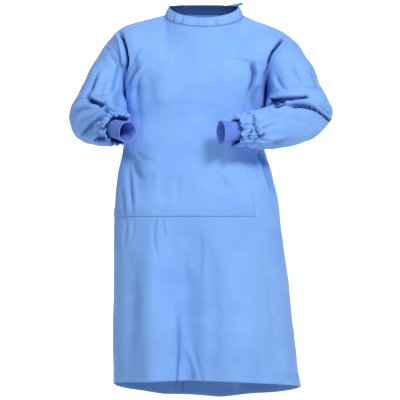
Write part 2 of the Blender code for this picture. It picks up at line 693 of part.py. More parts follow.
def make_waist_ties(lifted, normals, across, levels, middle, cloth):
    """A tie from each side seam to the middle of the back, the knot, and its two hanging ends."""
    tall = ARMPIT_Z - HEM_Z
    places = np.arange(len(levels))
    row = np.interp(WAIST_TIE_LEVEL, levels, places)
    half = np.interp(WAIST_TIE_LEVEL + WAIST_TIE_WIDTH / 2 / tall, levels, places) - row
    column = np.linalg.norm(on_surface(lifted, row, middle + 0.5) - on_surface(lifted, row, middle - 0.5))
    foot = np.interp(WAIST_TIE_LEVEL - WAIST_END_LENGTH / tall, levels, places)
    for side, sign in (("left", 1.0), ("right", -1.0)):
        seam = np.interp(sign * WAIST_TIE_START, across, np.arange(len(across)))
        near = middle + sign * TIE_PARTING / column
        between = [c for c in range(len(across)) if min(seam, near) < c < max(seam, near)]
        edges = [((row + half, c), (row - half, c)) for c in sorted([seam, near, *between])]
        tie_strip(f"waist_tie_{side}", lifted, normals, edges, TIE_GAP, cloth)
        far = near + sign * WAIST_TIE_WIDTH / column
        top = row - half * 1.08
        rows = sorted({foot, top, *[r for r in places if foot < r < top]})
        edges = [((r, near), (r, far)) for r in rows]
        tie_strip(f"waist_tie_end_{side}", lifted, normals, edges, hanging_gaps(len(rows)), cloth)
    outward = on_surface(normals, row, middle)
    place = on_surface(lifted, row, middle) + outward * KNOT_LIFT
    knot("waist_knot", WAIST_KNOT, place, outward, cloth)


def make_neck_ties(lifted, normals, levels, middle, nape, cloth):
    """The knot low on the collar's back, one end hanging and the other standing out to the left."""
    place, outward = nape
    places = np.arange(len(levels))
    column = np.linalg.norm(lifted[-2, int(middle) + 1] - lifted[-2, int(middle)])
    top = np.interp(NECK_END_LEVEL, levels, places)
    foot = np.interp(NECK_END_LEVEL - NECK_END_SHARE, levels, places)
    rows = sorted({foot, top, *[r for r in places if foot < r < top]})
    near, far = middle - TIE_PARTING / column, middle - (TIE_PARTING + NECK_TIE_WIDTH) / column
    edges = [((r, near), (r, far)) for r in rows]
    tie_strip("neck_tie_right", lifted, normals, edges, hanging_gaps(len(rows)), cloth)
    start = place + outward * TIE_GAP
    under_knot = [start + np.array([x, 0.0, 0.0]) for x in (TIE_PARTING, NECK_KNOT[0] * 0.6)]
    path = np.array(under_knot + [np.array(point) for point in NECK_END_PATH])
    sideways = unit(np.gradient(path, axis=0))
    facing = unit(np.cross(np.array([0.0, 0.0, 1.0]), sideways))
    facing[: len(under_knot)] = outward
    rise = unit(np.cross(sideways, facing)) * NECK_TIE_WIDTH / 2
    under = np.stack([path - rise, path + rise], axis=1)
    over = under + (facing * TIE_THICKNESS)[:, None]
    wall("neck_tie_left", over, under, cloth)
    knot("neck_knot", NECK_KNOT, place + outward * KNOT_LIFT, outward, cloth)


def sleeve_places(first, last):
    """Evenly spread places between two sections."""
    return np.linspace(first, last, max(2, int(round((last - first) * ROWS_PER_STATION)) + 1))


def gathered(side, grid, turns, places):
    """The sleeve with its gathers, which start on the forearm and are drawn flat at the cuff."""
    end = len(SLEEVE_STATIONS[side])
    start = end - GATHER_STATIONS
    rise = ease((places - start) / 1.6) * ease((end - places) / 0.9)
    wave = np.cos(GATHERS * turns)
    outward = unit(grid - grid.mean(axis=1, keepdims=True))
    return grid + outward * (GATHER_DEPTH * rise[:, None] * wave[None, :])[..., None]


def tube_normals(side, shape, places):
    """Outward normals of a sleeve's surface, where shape gives its rings at any places."""
    rings = shape(places)
    across = np.roll(rings, -1, axis=1) - np.roll(rings, 1, axis=1)
    along = shape(places + PLACE_STEP) - shape(places - PLACE_STEP)
    return SLEEVE_SIGN[side] * unit(np.cross(across, along))


def folded_sleeve(side, turns, places):
    """A sleeve's outer surface with its folds and gathers."""
    places = np.clip(places, 0.0, len(SLEEVE_STATIONS[side]))
    grid = sleeve(side, turns, places)
    outward = tube_normals(side, lambda at: sleeve(side, turns, at), places)
    away = ease((places - 0.2) / 1.2)[:, None, None]
    shaped = grid + (folded(grid, outward, SLEEVE_FOLDS[side], -1.0) - grid) * away
    return gathered(side, shaped, turns, places)


def sleeve_piece(side, places):
    """The rings of one sleeve piece at its places, and their outward normals."""
    turns = np.arange(2 * UPPER_STEPS) * np.pi / UPPER_STEPS
    outward = tube_normals(side, lambda at: folded_sleeve(side, turns, at), places)
    return folded_sleeve(side, turns, places), outward


def make_sleeve(side, armhole_normals, cloth):
    """The sleeve to above the elbow, and the doubled forearm below it."""
    seam = FIRST_REINFORCED_STATION[side]
    grid, outward = sleeve_piece(side, sleeve_places(0.0, seam))
    outward[0] = armhole_normals[0]
    grid = open_seams(grid, rows=(0, -1))
    drawn_in(grid, 0, 1, ARMHOLE_GAP)
    wall(f"sleeve_{side}", grid, grid - outward * CLOTH, cloth, closed=True)
    grid, outward = sleeve_piece(side, sleeve_places(seam, len(SLEEVE_STATIONS[side])))
    grid = open_seams(grid, rows=(0,))
    wall(f"sleeve_reinforcement_{side}", grid, grid - outward * DOUBLE_CLOTH, cloth, closed=True)


def make_cuff(side, knit):
    """The ribbed knit cuff, a tube with its ribs on the outside and a plain inside."""
    turns = np.arange(2 * CUFF_RIBS) * np.pi / CUFF_RIBS
    start, end = sleeve_sections(side, turns)[-2:]
    length = np.linalg.norm(end.mean(axis=0) - start.mean(axis=0))
    shares = np.linspace(SEAM_GAP / length, 1.0, CUFF_ROWS + 1)[:, None, None]
    plain = start * (1 - shares) + end * shares
    outward = unit(plain - plain.mean(axis=1, keepdims=True))
    ribs = RIB_HEIGHT * (np.arange(2 * CUFF_RIBS) % 2)[None, :, None]
    wall(f"cuff_{side}", plain + outward * ribs, plain - outward * KNIT, knit, closed=True)


def on_surface(grid, row, column):
    """The point of a grid's triangles at a row and a column, either of them between two."""
    i = min(int(row), grid.shape[0] - 2)
    j = min(int(column), grid.shape[1] - 2)
    up, along = row - i, column - j
    near, far = grid[i, j], grid[i + 1, j + 1]
    if along >= up:
        corner = grid[i, j + 1]
        return near + (corner - near) * along + (far - corner) * up
    corner = grid[i + 1, j]
    return near + (corner - near) * up + (far - corner) * along


def tie_strip(name, grid, normals, edges, gaps, cloth):
    """A flat tie over a grid: each pair of (row, column) places gives its two edges."""
    ends = np.array([[on_surface(grid, *place) for place in pair] for pair in edges])
    outward = unit(np.array([[on_surface(normals, *place) for place in pair] for pair in edges]))
    under = ends + outward * np.broadcast_to(gaps, len(edges))[:, None, None]
    wall(name, under + outward * TIE_THICKNESS, under, cloth)


def hanging_gaps(count):
    """A hanging end's distance from the cloth behind it, from its free end up to its knot."""
    return TIE_GAP + HANGING_LIFT * (np.arange(count) < count - 1)


def knot(name, size, place, outward, cloth):
    """A small rounded knot, its back at the given place and facing outward."""
    mesh = bmesh.new()
    bmesh.ops.create_cube(mesh, size=1.0)
    bmesh.ops.scale(mesh, vec=size, verts=mesh.verts)
    bmesh.ops.bevel(mesh, geom=mesh.edges, offset=min(size) * 0.3, segments=2, affect="EDGES")
    turn = Vector((0.0, 1.0, 0.0)).rotation_difference(Vector(outward)).to_matrix()
    bmesh.ops.rotate(mesh, matrix=turn, verts=mesh.verts)
    middle = place + unit(np.array(outward)) * size[1] / 2
    bmesh.ops.translate(mesh, vec=Vector(middle), verts=mesh.verts)
    return finish(name, mesh, cloth)


def main():
    """Builds the whole gown."""
    clear_scene()
    pieces = bpy.data.collections.new("surgical gown")
    bpy.context.scene.collection.children.link(pieces)
    cloth = make_material("blue poplin", CLOTH_BLUE, 0.8)
    knit = make_material("rib knit", CUFF_BLUE, 0.9)
    armhole_normals = make_body(cloth)
    for side in ("left", "right"):
        make_sleeve(side, armhole_normals[side], cloth)
        make_cuff(side, knit)


main()
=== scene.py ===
"""The dressed surgical gown: poplin panels with their creases, seams and stitching, rib cuffs and ties.

Each piece stands for the CAD node of its name and is worked out from the same sizes, so it stays where
that node is. Metres, +Z up, front towards -Y, +X on the left of the gown, the origin in its neck.
"""

import logging
import math
from dataclasses import dataclass, field
from enum import Enum
from typing import Callable, Sequence

import bpy
import numpy as np
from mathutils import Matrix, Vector


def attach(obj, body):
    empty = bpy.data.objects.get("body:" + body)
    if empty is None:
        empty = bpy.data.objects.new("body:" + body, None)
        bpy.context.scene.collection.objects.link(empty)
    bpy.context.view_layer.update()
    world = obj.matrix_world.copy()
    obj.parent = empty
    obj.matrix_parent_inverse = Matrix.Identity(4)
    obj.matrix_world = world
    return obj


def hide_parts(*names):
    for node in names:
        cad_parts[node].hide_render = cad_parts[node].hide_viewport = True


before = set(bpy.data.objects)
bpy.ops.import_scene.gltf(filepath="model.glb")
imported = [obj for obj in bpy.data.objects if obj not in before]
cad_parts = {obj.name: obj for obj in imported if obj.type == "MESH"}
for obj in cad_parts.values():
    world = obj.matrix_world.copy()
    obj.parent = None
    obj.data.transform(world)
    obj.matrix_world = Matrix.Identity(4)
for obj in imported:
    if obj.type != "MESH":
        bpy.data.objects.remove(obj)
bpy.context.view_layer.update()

Array = np.ndarray
BODY = "root"
LOG = logging.getLogger("surgical_gown")


class Side(Enum):
    """The gown's two sides, as the wearer has them."""

    LEFT = "left"
    RIGHT = "right"

    @property
    def turn(self) -> float:
        """The sign that points a sleeve's normals outward."""
        return -1.0 if self is Side.LEFT else 1.0


class Half(Enum):
    """The front and the back half of the body."""

    FRONT = "front"
    BACK = "back"

    @property
    def facing(self) -> float:
        """The sign of Y on this half's outside."""
        return -1.0 if self is Half.FRONT else 1.0


class Held(Enum):
    HUNG = "hung"
    DRAPED = "draped"
    GATHERED = "gathered"
    STRETCHED = "stretched"


def linear(code: str) -> tuple[float, float, float, float]:
    """Turns an sRGB hex colour into linear RGBA.

    Args:
        code: the colour, such as "8fbfff".

    Returns:
        Red, green, blue and an alpha of one.
    """
    parts = [int(code[i : i + 2], 16) / 255.0 for i in (0, 2, 4)]
    red, green, blue = (c / 12.92 if c <= 0.04045 else ((c + 0.055) / 1.055) ** 2.4 for c in parts)
    return red, green, blue, 1.0


def add_node(tree: bpy.types.NodeTree, kind: str, settings: dict | None = None, inputs: dict | None = None):
    """Adds a node with its settings and its inputs.

    Args:
        tree: the tree that takes the node.
        kind: Blender's name of the node type.
        settings: the node's own properties by name.
        inputs: values or output sockets by the input's name or number.

    Returns:
        The node.
    """
    node = tree.nodes.new(kind)
    for name, value in (settings or {}).items():
        setattr(node, name, value)
    for key, value in (inputs or {}).items():
        if isinstance(value, bpy.types.NodeSocket):
            tree.links.new(value, node.inputs[key])
        else:
            node.inputs[key].default_value = value
    return node


@dataclass(frozen=True)
class Poplin:
    """Plain-woven polyester and cotton poplin, washed many times: matt, with a faint dry sheen.

    The threads are 0.25 mm apart, too fine to show, so they are drawn at thread_mm.
    """

    name: str
    face: str
    shade: str
    # The dark navy that is painted into sharp creases and deep folds as shade
    deep: str = "12337c"
    thread_mm: float = 1.1
    roughness: float = 0.78
    sheen: float = 0.12
    specular: float = 0.22
    weave_depth: float = 0.00010
    crumple_depth: float = 0.0020

    def make(self) -> bpy.types.Material:
        """The material: two crossing sets of threads, wash marks, a soft crumple and shade painted into creases."""
        material = bpy.data.materials.new(self.name)
        material.use_nodes = True
        tree = material.node_tree
        shader = tree.nodes["Principled BSDF"]
        shader.inputs["Metallic"].default_value = 0.0
        shader.inputs["IOR"].default_value = 1.48
        shader.inputs["Sheen Roughness"].default_value = 0.55
        uv = add_node(tree, "ShaderNodeUVMap", {"uv_map": "cloth"}).outputs["UV"]
        place = add_node(tree, "ShaderNodeTexCoord").outputs["Object"]
        # Blender's wave has one band in 2 pi / 20 of a unit
        scale = 2 * math.pi / 20 / (self.thread_mm / 1000)
        warp, weft = (
            add_node(
                tree,
                "ShaderNodeTexWave",
                {"bands_direction": way},
                {"Vector": uv, "Scale": scale, "Distortion": 0.6, "Detail": 1.0, "Detail Scale": 0.4},
            ).outputs["Fac"]
            for way in ("X", "Y")
        )
        weave = add_node(tree, "ShaderNodeMath", {"operation": "MULTIPLY"}, {0: warp, 1: weft}).outputs[0]
        wash = add_node(
            tree, "ShaderNodeTexNoise", None, {"Vector": place, "Scale": 9.0, "Detail": 4.0, "Roughness": 0.55}
        ).outputs["Fac"]
        spread = add_node(
            tree, "ShaderNodeMapRange", None, {"Value": wash, "From Min": 0.32, "From Max": 0.70}
        ).outputs[0]
        dyed = add_node(
            tree,
            "ShaderNodeMix",
            {"data_type": "RGBA"},
            {"Factor": spread, "A": linear(self.shade), "B": linear(self.face)},
        ).outputs["Result"]
        # The weave's low places are painted slightly darker, as painted shade between the threads
        painted_thread_shade = add_node(
            tree, "ShaderNodeMapRange", None, {"Value": weave, "To Min": 0.955, "To Max": 1.02}
        ).outputs[0]
        woven_colour = add_node(
            tree, "ShaderNodeVectorMath", {"operation": "SCALE"}, {0: dyed, "Scale": painted_thread_shade}
        ).outputs[0]
        # Painted shade: the painted shade layer mixes the colour towards the dark navy deep, for the little light, only
        # its blue, that comes out of a closed crease
        painted_shade = add_node(tree, "ShaderNodeAttribute", {"attribute_name": "painted_shade"}).outputs["Fac"]
        colour = add_node(
            tree,
            "ShaderNodeMix",
            {"data_type": "RGBA"},
            {"Factor": painted_shade, "A": woven_colour, "B": linear(self.deep)},
        ).outputs["Result"]
        tree.links.new(colour, shader.inputs["Base Color"])
        # Sheen and gloss fade away where shade is painted, as in a shaded crease
        for name, open_value in (("Sheen Weight", self.sheen), ("Specular IOR Level", self.specular)):
            sheen_dulled_by_painted_shade = add_node(
                tree, "ShaderNodeMapRange", None, {"Value": painted_shade, "To Min": open_value, "To Max": 0.0}
            ).outputs[0]
            tree.links.new(sheen_dulled_by_painted_shade, shader.inputs[name])
        dull = add_node(
            tree,
            "ShaderNodeMapRange",
            None,
            {"Value": wash, "To Min": self.roughness - 0.06, "To Max": self.roughness + 0.08},
        ).outputs[0]
        tree.links.new(dull, shader.inputs["Roughness"])
        crumple = add_node(
            tree,
            "ShaderNodeTexNoise",
            None,
            {"Vector": place, "Scale": 26.0, "Detail": 3.0, "Roughness": 0.45, "Distortion": 0.6},
        ).outputs["Fac"]
        soft = add_node(
            tree, "ShaderNodeBump", None, {"Strength": 0.5, "Distance": self.crumple_depth, "Height": crumple}
        ).outputs["Normal"]
        woven = add_node(
            tree,
            "ShaderNodeBump",
            None,
            {"Strength": 0.6, "Distance": self.weave_depth, "Height": weave, "Normal": soft},
        ).outputs["Normal"]
        tree.links.new(woven, shader.inputs["Normal"])
        return material


@dataclass(frozen=True)
class RibKnit:
    """Polyester rib knit: rounder and softer than the poplin, with a deeper blue painted into the low places of its
    knit as shade.
    """

    name: str
    face: str
    shade: str
    loop_mm: float = 1.6
    roughness: float = 0.9

    def make(self) -> bpy.types.Material:
        """The material: rows of knitted loops across the ribs, and fuzz, with shade painted where they are low."""
        material = bpy.data.materials.new(self.name)
        material.use_nodes = True
        tree = material.node_tree
        shader = tree.nodes["Principled BSDF"]
        shader.inputs["Metallic"].default_value = 0.0
        shader.inputs["Sheen Weight"].default_value = 0.1
        shader.inputs["Sheen Roughness"].default_value = 0.6
        shader.inputs["Specular IOR Level"].default_value = 0.18
        shader.inputs["Roughness"].default_value = self.roughness
        uv = add_node(tree, "ShaderNodeUVMap", {"uv_map": "cloth"}).outputs["UV"]
        place = add_node(tree, "ShaderNodeTexCoord").outputs["Object"]
        scale = 2 * math.pi / 20 / (self.loop_mm / 1000)
        loops = add_node(
            tree,
            "ShaderNodeTexWave",
            {"bands_direction": "Y"},
            {"Vector": uv, "Scale": scale, "Distortion": 1.5, "Detail": 1.0, "Detail Scale": 3.0},
        ).outputs["Fac"]
        fuzz = add_node(
            tree, "ShaderNodeTexNoise", None, {"Vector": place, "Scale": 60.0, "Detail": 4.0}
        ).outputs["Fac"]
        # Loops and fuzz give the knit's height, and the colour is painted darker where it is low, as shade in the
        # hollows
        mixed = add_node(tree, "ShaderNodeMath", {"operation": "ADD"}, {0: loops, 1: fuzz}).outputs[0]
        spread = add_node(
            tree, "ShaderNodeMapRange", None, {"Value": mixed, "From Min": 0.35, "From Max": 1.35}
        ).outputs[0]
        colour = add_node(
            tree,
            "ShaderNodeMix",
            {"data_type": "RGBA"},
            {"Factor": spread, "A": linear(self.shade), "B": linear(self.face)},
        ).outputs["Result"]
        tree.links.new(colour, shader.inputs["Base Color"])
        raised = add_node(
            tree, "ShaderNodeBump", None, {"Strength": 0.7, "Distance": 0.0003, "Height": mixed}
        ).outputs["Normal"]
        tree.links.new(raised, shader.inputs["Normal"])
        return material


@dataclass(frozen=True)
class Thread:
    """Spun polyester sewing thread: a hair darker and shinier than the cloth, two plies twisted."""

    name: str
    face: str
    shade: str

    def make(self) -> bpy.types.Material:
        """The material: a fine uneven twist."""
        material = bpy.data.materials.new(self.name)
        material.use_nodes = True
        tree = material.node_tree
        shader = tree.nodes["Principled BSDF"]
        shader.inputs["Metallic"].default_value = 0.0
        shader.inputs["Roughness"].default_value = 0.6
        place = add_node(tree, "ShaderNodeTexCoord").outputs["Object"]
        twist = add_node(
            tree, "ShaderNodeTexNoise", None, {"Vector": place, "Scale": 900.0, "Detail": 2.0}
        ).outputs["Fac"]
        colour = add_node(
            tree,
            "ShaderNodeMix",
            {"data_type": "RGBA"},
            {"Factor": twist, "A": linear(self.shade), "B": linear(self.face)},
        ).outputs["Result"]
        tree.links.new(colour, shader.inputs["Base Color"])
        return material


@dataclass(frozen=True)
class StudioPaper:
    """Matt white background paper with its faint mottle."""

    name: str
    face: str
    shade: str

    def make(self) -> bpy.types.Material:
        """The material of the floor and backdrop."""
        material = bpy.data.materials.new(self.name)
        material.use_nodes = True
        tree = material.node_tree
        shader = tree.nodes["Principled BSDF"]
        shader.inputs["Roughness"].default_value = 0.95
        place = add_node(tree, "ShaderNodeTexCoord").outputs["Object"]
        mottle = add_node(
            tree, "ShaderNodeTexNoise", None, {"Vector": place, "Scale": 1.5, "Detail": 3.0}
        ).outputs["Fac"]
        colour = add_node(
            tree,
            "ShaderNodeMix",
            {"data_type": "RGBA"},
            {"Factor": mottle, "A": linear(self.shade), "B": linear(self.face)},
        ).outputs["Result"]
        tree.links.new(colour, shader.inputs["Base Color"])
        return material


def unit(vectors: Array) -> Array:
    """The same directions at length one."""
    return vectors / np.maximum(np.linalg.norm(vectors, axis=-1, keepdims=True), 1e-12)


def ease(share: Array) -> Array:
    """Rises from 0 to 1 with no slope at either end."""
    share = np.clip(share, 0.0, 1.0)
    return share * share * (3.0 - 2.0 * share)


def smooth(keys: Sequence[float], values: Sequence, at: Array) -> Array:
    """A smooth curve through values, one for each key.

    Args:
        keys: the places along the curve where it is known.
        values: what it is there, each a number or an array.
        at: the places to read.

    Returns:
        The curve at those places.
    """
    keys = np.asarray(keys, float)
    values = np.asarray(values, float)
    steps = np.diff(keys)
    shape = (-1,) + (1,) * (values.ndim - 1)
    slopes = np.diff(values, axis=0) / steps.reshape(shape)
    tangents = np.concatenate([slopes[:1], (slopes[1:] + slopes[:-1]) / 2.0, slopes[-1:]])
    at = np.clip(np.asarray(at, float), keys[0], keys[-1])
    span = np.clip(np.searchsorted(keys, at, side="right") - 1, 0, len(keys) - 2)
    share = ((at - keys[span]) / steps[span]).reshape(at.shape + (1,) * (values.ndim - 1))
    width = steps[span].reshape(share.shape)
    return (
        values[span] * (2 * share**3 - 3 * share**2 + 1)
        + tangents[span] * width * (share**3 - 2 * share**2 + share)
        + values[span + 1] * (3 * share**2 - 2 * share**3)
        + tangents[span + 1] * width * (share**3 - share**2)
    )


def hills(first: Array, second: Array, size: float, seed: int) -> Array:
    """Soft random hills between -1 and 1, the same at each run and for each part of one surface.

    Args:
        first: one coordinate of each point, in metres.
        second: the other coordinate of each point, in metres.
        size: the distance between hills, in metres.
        seed: the random seed.

    Returns:
        The height at each point.
    """
    count = 128
    lattice = np.random.default_rng(seed).uniform(-1, 1, (count, count))
    a, b = first / size, second / size
    i, j = np.floor(a).astype(int), np.floor(b).astype(int)
    u, v = ease(a - i), ease(b - j)
    i, j, k, m = i % count, j % count, (i + 1) % count, (j + 1) % count
    low = lattice[i, j] * (1 - u) + lattice[k, j] * u
    high = lattice[i, m] * (1 - u) + lattice[k, m] * u
    return low * (1 - v) + high * v


def normals_of(grid: Array, closed: bool) -> Array:
    """Normals at a grid's points, from the way its rows and columns run."""
    if closed:
        across = np.roll(grid, -1, axis=1) - np.roll(grid, 1, axis=1)
    else:
        across = np.gradient(grid, axis=1)
    return unit(np.cross(across, np.gradient(grid, axis=0)))


@dataclass(frozen=True)
class Crease:
    """A trough or ridge along a curve seen from the front, given by its points (x, z).

    Depth is inward when negative. Lip raises a roll beside a trough, as a share of its depth, on the
    left of the curve's way when positive. The crease fades over the shares of its length at its ends.
    """

    path: tuple[tuple[float, float], ...]
    half_width: float
    depth: float
    lip: float = 0.0
    fade_in: float = 0.3
    fade_out: float = 0.3

    def line(self) -> Array:
        """The crease's curve as short straight pieces."""
        keys = np.arange(len(self.path))
        return smooth(keys, self.path, np.linspace(0, keys[-1], 8 * len(keys)))

    def depths(self, points: Array) -> Array:
        """How far the crease moves each point.

        Args:
            points: points as (x, z), in any shape of array.

        Returns:
            The move of each point along its normal.
        """
        line = self.line()
        reach = self.half_width * 4.0
        low, high = line.min(axis=0) - reach, line.max(axis=0) + reach
        near = np.all((points >= low) & (points <= high), axis=-1)
        moved = np.zeros(points.shape[:-1])
        if not near.any():
            return moved
        start, step = line[:-1], np.diff(line, axis=0)
        from_start = points[near][:, None] - start
        along = np.clip((from_start * step).sum(-1) / (step * step).sum(-1), 0.0, 1.0)
        gaps = from_start - along[..., None] * step
        away = np.linalg.norm(gaps, axis=-1)
        best = away.argmin(axis=1)
        pick = (np.arange(len(best)), best)
        share = (best + along[pick]) / len(step)
        left = np.sign(step[best, 0] * gaps[pick][:, 1] - step[best, 1] * gaps[pick][:, 0])
        far = away[pick] / self.half_width
        profile = np.exp(-(far**2))
        if self.lip:
            signed = far * left * np.sign(self.lip)
            profile = profile - abs(self.lip) * np.exp(-(((signed - 1.9) / 1.1) ** 2))
        rise = ease(share / self.fade_in) if self.fade_in else 1.0
        fall = ease((1.0 - share) / self.fade_out) if self.fade_out else 1.0
        moved[near] = self.depth * rise * fall * profile
        return moved


def crease_depth(
    grid: Array,
    normals: Array,
    creases: Sequence[Crease],
    facing: float,
    widest: float = 1.0,
    reach: float = 0.15,
) -> Array:
    """How far creases move the side of a grid that faces one way.

    Args:
        grid: the points of the surface.
        normals: their outward normals.
        creases: what to press in.
        facing: -1 for the front of the gown and 1 for its back.
        widest: creases with a larger half width than this are left out.
        reach: how far past the side the creases run on, 0 for not at all.

    Returns:
        Each point's move along its normal.
    """
    depth = sum(c.depths(grid[..., [0, 2]]) for c in creases if c.half_width <= widest)
    return depth * ease((normals[..., 1] * facing + reach) / 0.5)


def creased(grid: Array, normals: Array, creases: Sequence[Crease], facing: float) -> Array:
    """The grid with creases pressed in, as crease_depth has them."""
    return grid + normals * crease_depth(grid, normals, creases, facing)[..., None]


def painted_crease_shade(depth: Array) -> Array:
    """The painted shade of a sharp crease at each point, from 0 above 4 mm deep to 1 below 14 mm."""
    return np.clip((-depth - 0.004) / 0.010, 0.0, 1.0)


def painted_pocket_shade(grid: Array, painted_shadows: Sequence[Crease]) -> Array:
    """The painted shadow of the deepest folds, each given as a crease whose depth is its darkness."""
    return np.clip(sum(pocket.depths(grid[..., [0, 2]]) for pocket in painted_shadows), 0.0, 1.0)


# Creases up to this half width are sharp enough to hold no light, so their shade is painted into the cloth
SHARP = 0.0081


def between(grid: Array, rows: Array, columns: Array) -> Array:
    """Reads a grid at places between its rows and columns.

    Args:
        grid: the grid.
        rows: row places, counted in rows.
        columns: column places, counted in columns.

    Returns:
        One value for each pair of places.
    """
    i = np.clip(np.asarray(rows, float).astype(int), 0, grid.shape[0] - 2)
    j = np.clip(np.asarray(columns, float).astype(int), 0, grid.shape[1] - 2)
    u, v = (rows - i)[:, None], (columns - j)[:, None]
    near = grid[i, j] * (1 - v) + grid[i, j + 1] * v
    far = grid[i + 1, j] * (1 - v) + grid[i + 1, j + 1] * v
    return near * (1 - u) + far * u


def into_collection(name: str, mesh: bpy.types.Mesh) -> bpy.types.Object:
    """Puts a mesh into the scene as an object of its own."""
    made = bpy.data.objects.new(name, mesh)
    bpy.context.scene.collection.objects.link(made)
    return made


@dataclass
class Shell:
    """A thin wall of cloth between two grids of the same size, closed all round its borders."""

    name: str
    outer: Array
    inner: Array
    closed: bool = False
    # Painted shade for each outer point, and one even painted shade for the whole inside
    shade: Array | None = None
    painted_inside_shade: float = 0.35

    def faces(self) -> tuple[list[tuple[int, ...]], list[tuple[tuple[int, int], ...]]]:
        """The wall's faces, and for each the row and column of its corners, for the UV map."""
        rows, columns = self.outer.shape[:2]
        count = rows * columns
        faces, places = [], []

        def at(i: int, j: int) -> int:
            return i * columns + j % columns

        for i in range(rows - 1):
            for j in range(columns if self.closed else columns - 1):
                ring = ((i, j), (i, j + 1), (i + 1, j + 1), (i + 1, j))
                faces.append(tuple(at(*p) for p in ring))
                places.append(ring)
                faces.append(tuple(at(*p) + count for p in ring[::-1]))
                places.append(ring[::-1])
        border = [((0, j + 1), (0, j)) for j in range(columns if self.closed else columns - 1)]
        border += [((rows - 1, j), (rows - 1, j + 1)) for j in range(columns if self.closed else columns - 1)]
        if not self.closed:
            border += [((i, 0), (i + 1, 0)) for i in range(rows - 1)]
            border += [((i + 1, columns - 1), (i, columns - 1)) for i in range(rows - 1)]
        for a, b in border:
            faces.append((at(*a), at(*b), at(*b) + count, at(*a) + count))
            places.append((a, b, b, a))
        return faces, places

    def lengths(self) -> tuple[Array, Array]:
        """Mean distance of each column and row from the first, in metres, which is the cloth's UV."""
        ring = np.concatenate([self.outer, self.outer[:, :1]], axis=1) if self.closed else self.outer
        across = np.linalg.norm(np.diff(ring, axis=1), axis=-1).mean(axis=0)
        along = np.linalg.norm(np.diff(self.outer, axis=0), axis=-1).mean(axis=1)
        return np.concatenate([[0.0], np.cumsum(across)]), np.concatenate([[0.0], np.cumsum(along)])

    def area(self) -> float:
        """The area of one side, in square metres."""
        ring = np.concatenate([self.outer, self.outer[:, :1]], axis=1) if self.closed else self.outer
        a, b, c, d = ring[:-1, :-1], ring[:-1, 1:], ring[1:, 1:], ring[1:, :-1]
        return float(np.linalg.norm(np.cross(c - a, d - b), axis=-1).sum() / 2)

    def make(self, material: bpy.types.Material) -> bpy.types.Object:
        """Makes the wall.

        Args:
            material: the cloth.

        Returns:
            The object, with its faces outward and a UV map in metres.
        """
        faces, places = self.faces()
        points = np.concatenate([self.outer.reshape(-1, 3), self.inner.reshape(-1, 3)])
        corners = points[np.array(faces)]
        a, b, c, d = (corners[:, k] for k in range(4))
        volume = (a * (np.cross(b, c) + np.cross(c, d))).sum()
        if volume < 0:
            faces = [face[::-1] for face in faces]
            places = [place[::-1] for place in places]
        mesh = bpy.data.meshes.new(self.name)
        mesh.from_pydata(points.tolist(), [], faces)
        across, along = self.lengths()
        where = np.array(places).reshape(-1, 2)
        uv = mesh.uv_layers.new(name="cloth")
        uv.data.foreach_set("uv", np.stack([across[where[:, 1]], along[where[:, 0]]], axis=1).ravel())
        # The painted shade is kept in a point layer that the cloth's material reads
        if self.shade is not None:
            painted_shade = mesh.attributes.new("painted_shade", "FLOAT", "POINT")
            inside = np.full(self.shade.size, self.painted_inside_shade)
            painted_shade.data.foreach_set("value", np.concatenate([self.shade.ravel(), inside]))
        mesh.materials.append(material)
        mesh.shade_smooth()
        mesh.update()
        return into_collection(self.name, mesh)


def dressed(piece: bpy.types.Object, slot: str, *nodes: str) -> bpy.types.Object:
    """Makes a piece ride on the gown and stand for its CAD nodes, and logs it."""
    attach(piece, BODY)
    if nodes:
        piece.name = piece.data.name = f"{nodes[0]}_{slot}"
        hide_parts(*nodes)
    LOG.info("%s: %d faces", piece.name, len(piece.data.polygons))
    return piece


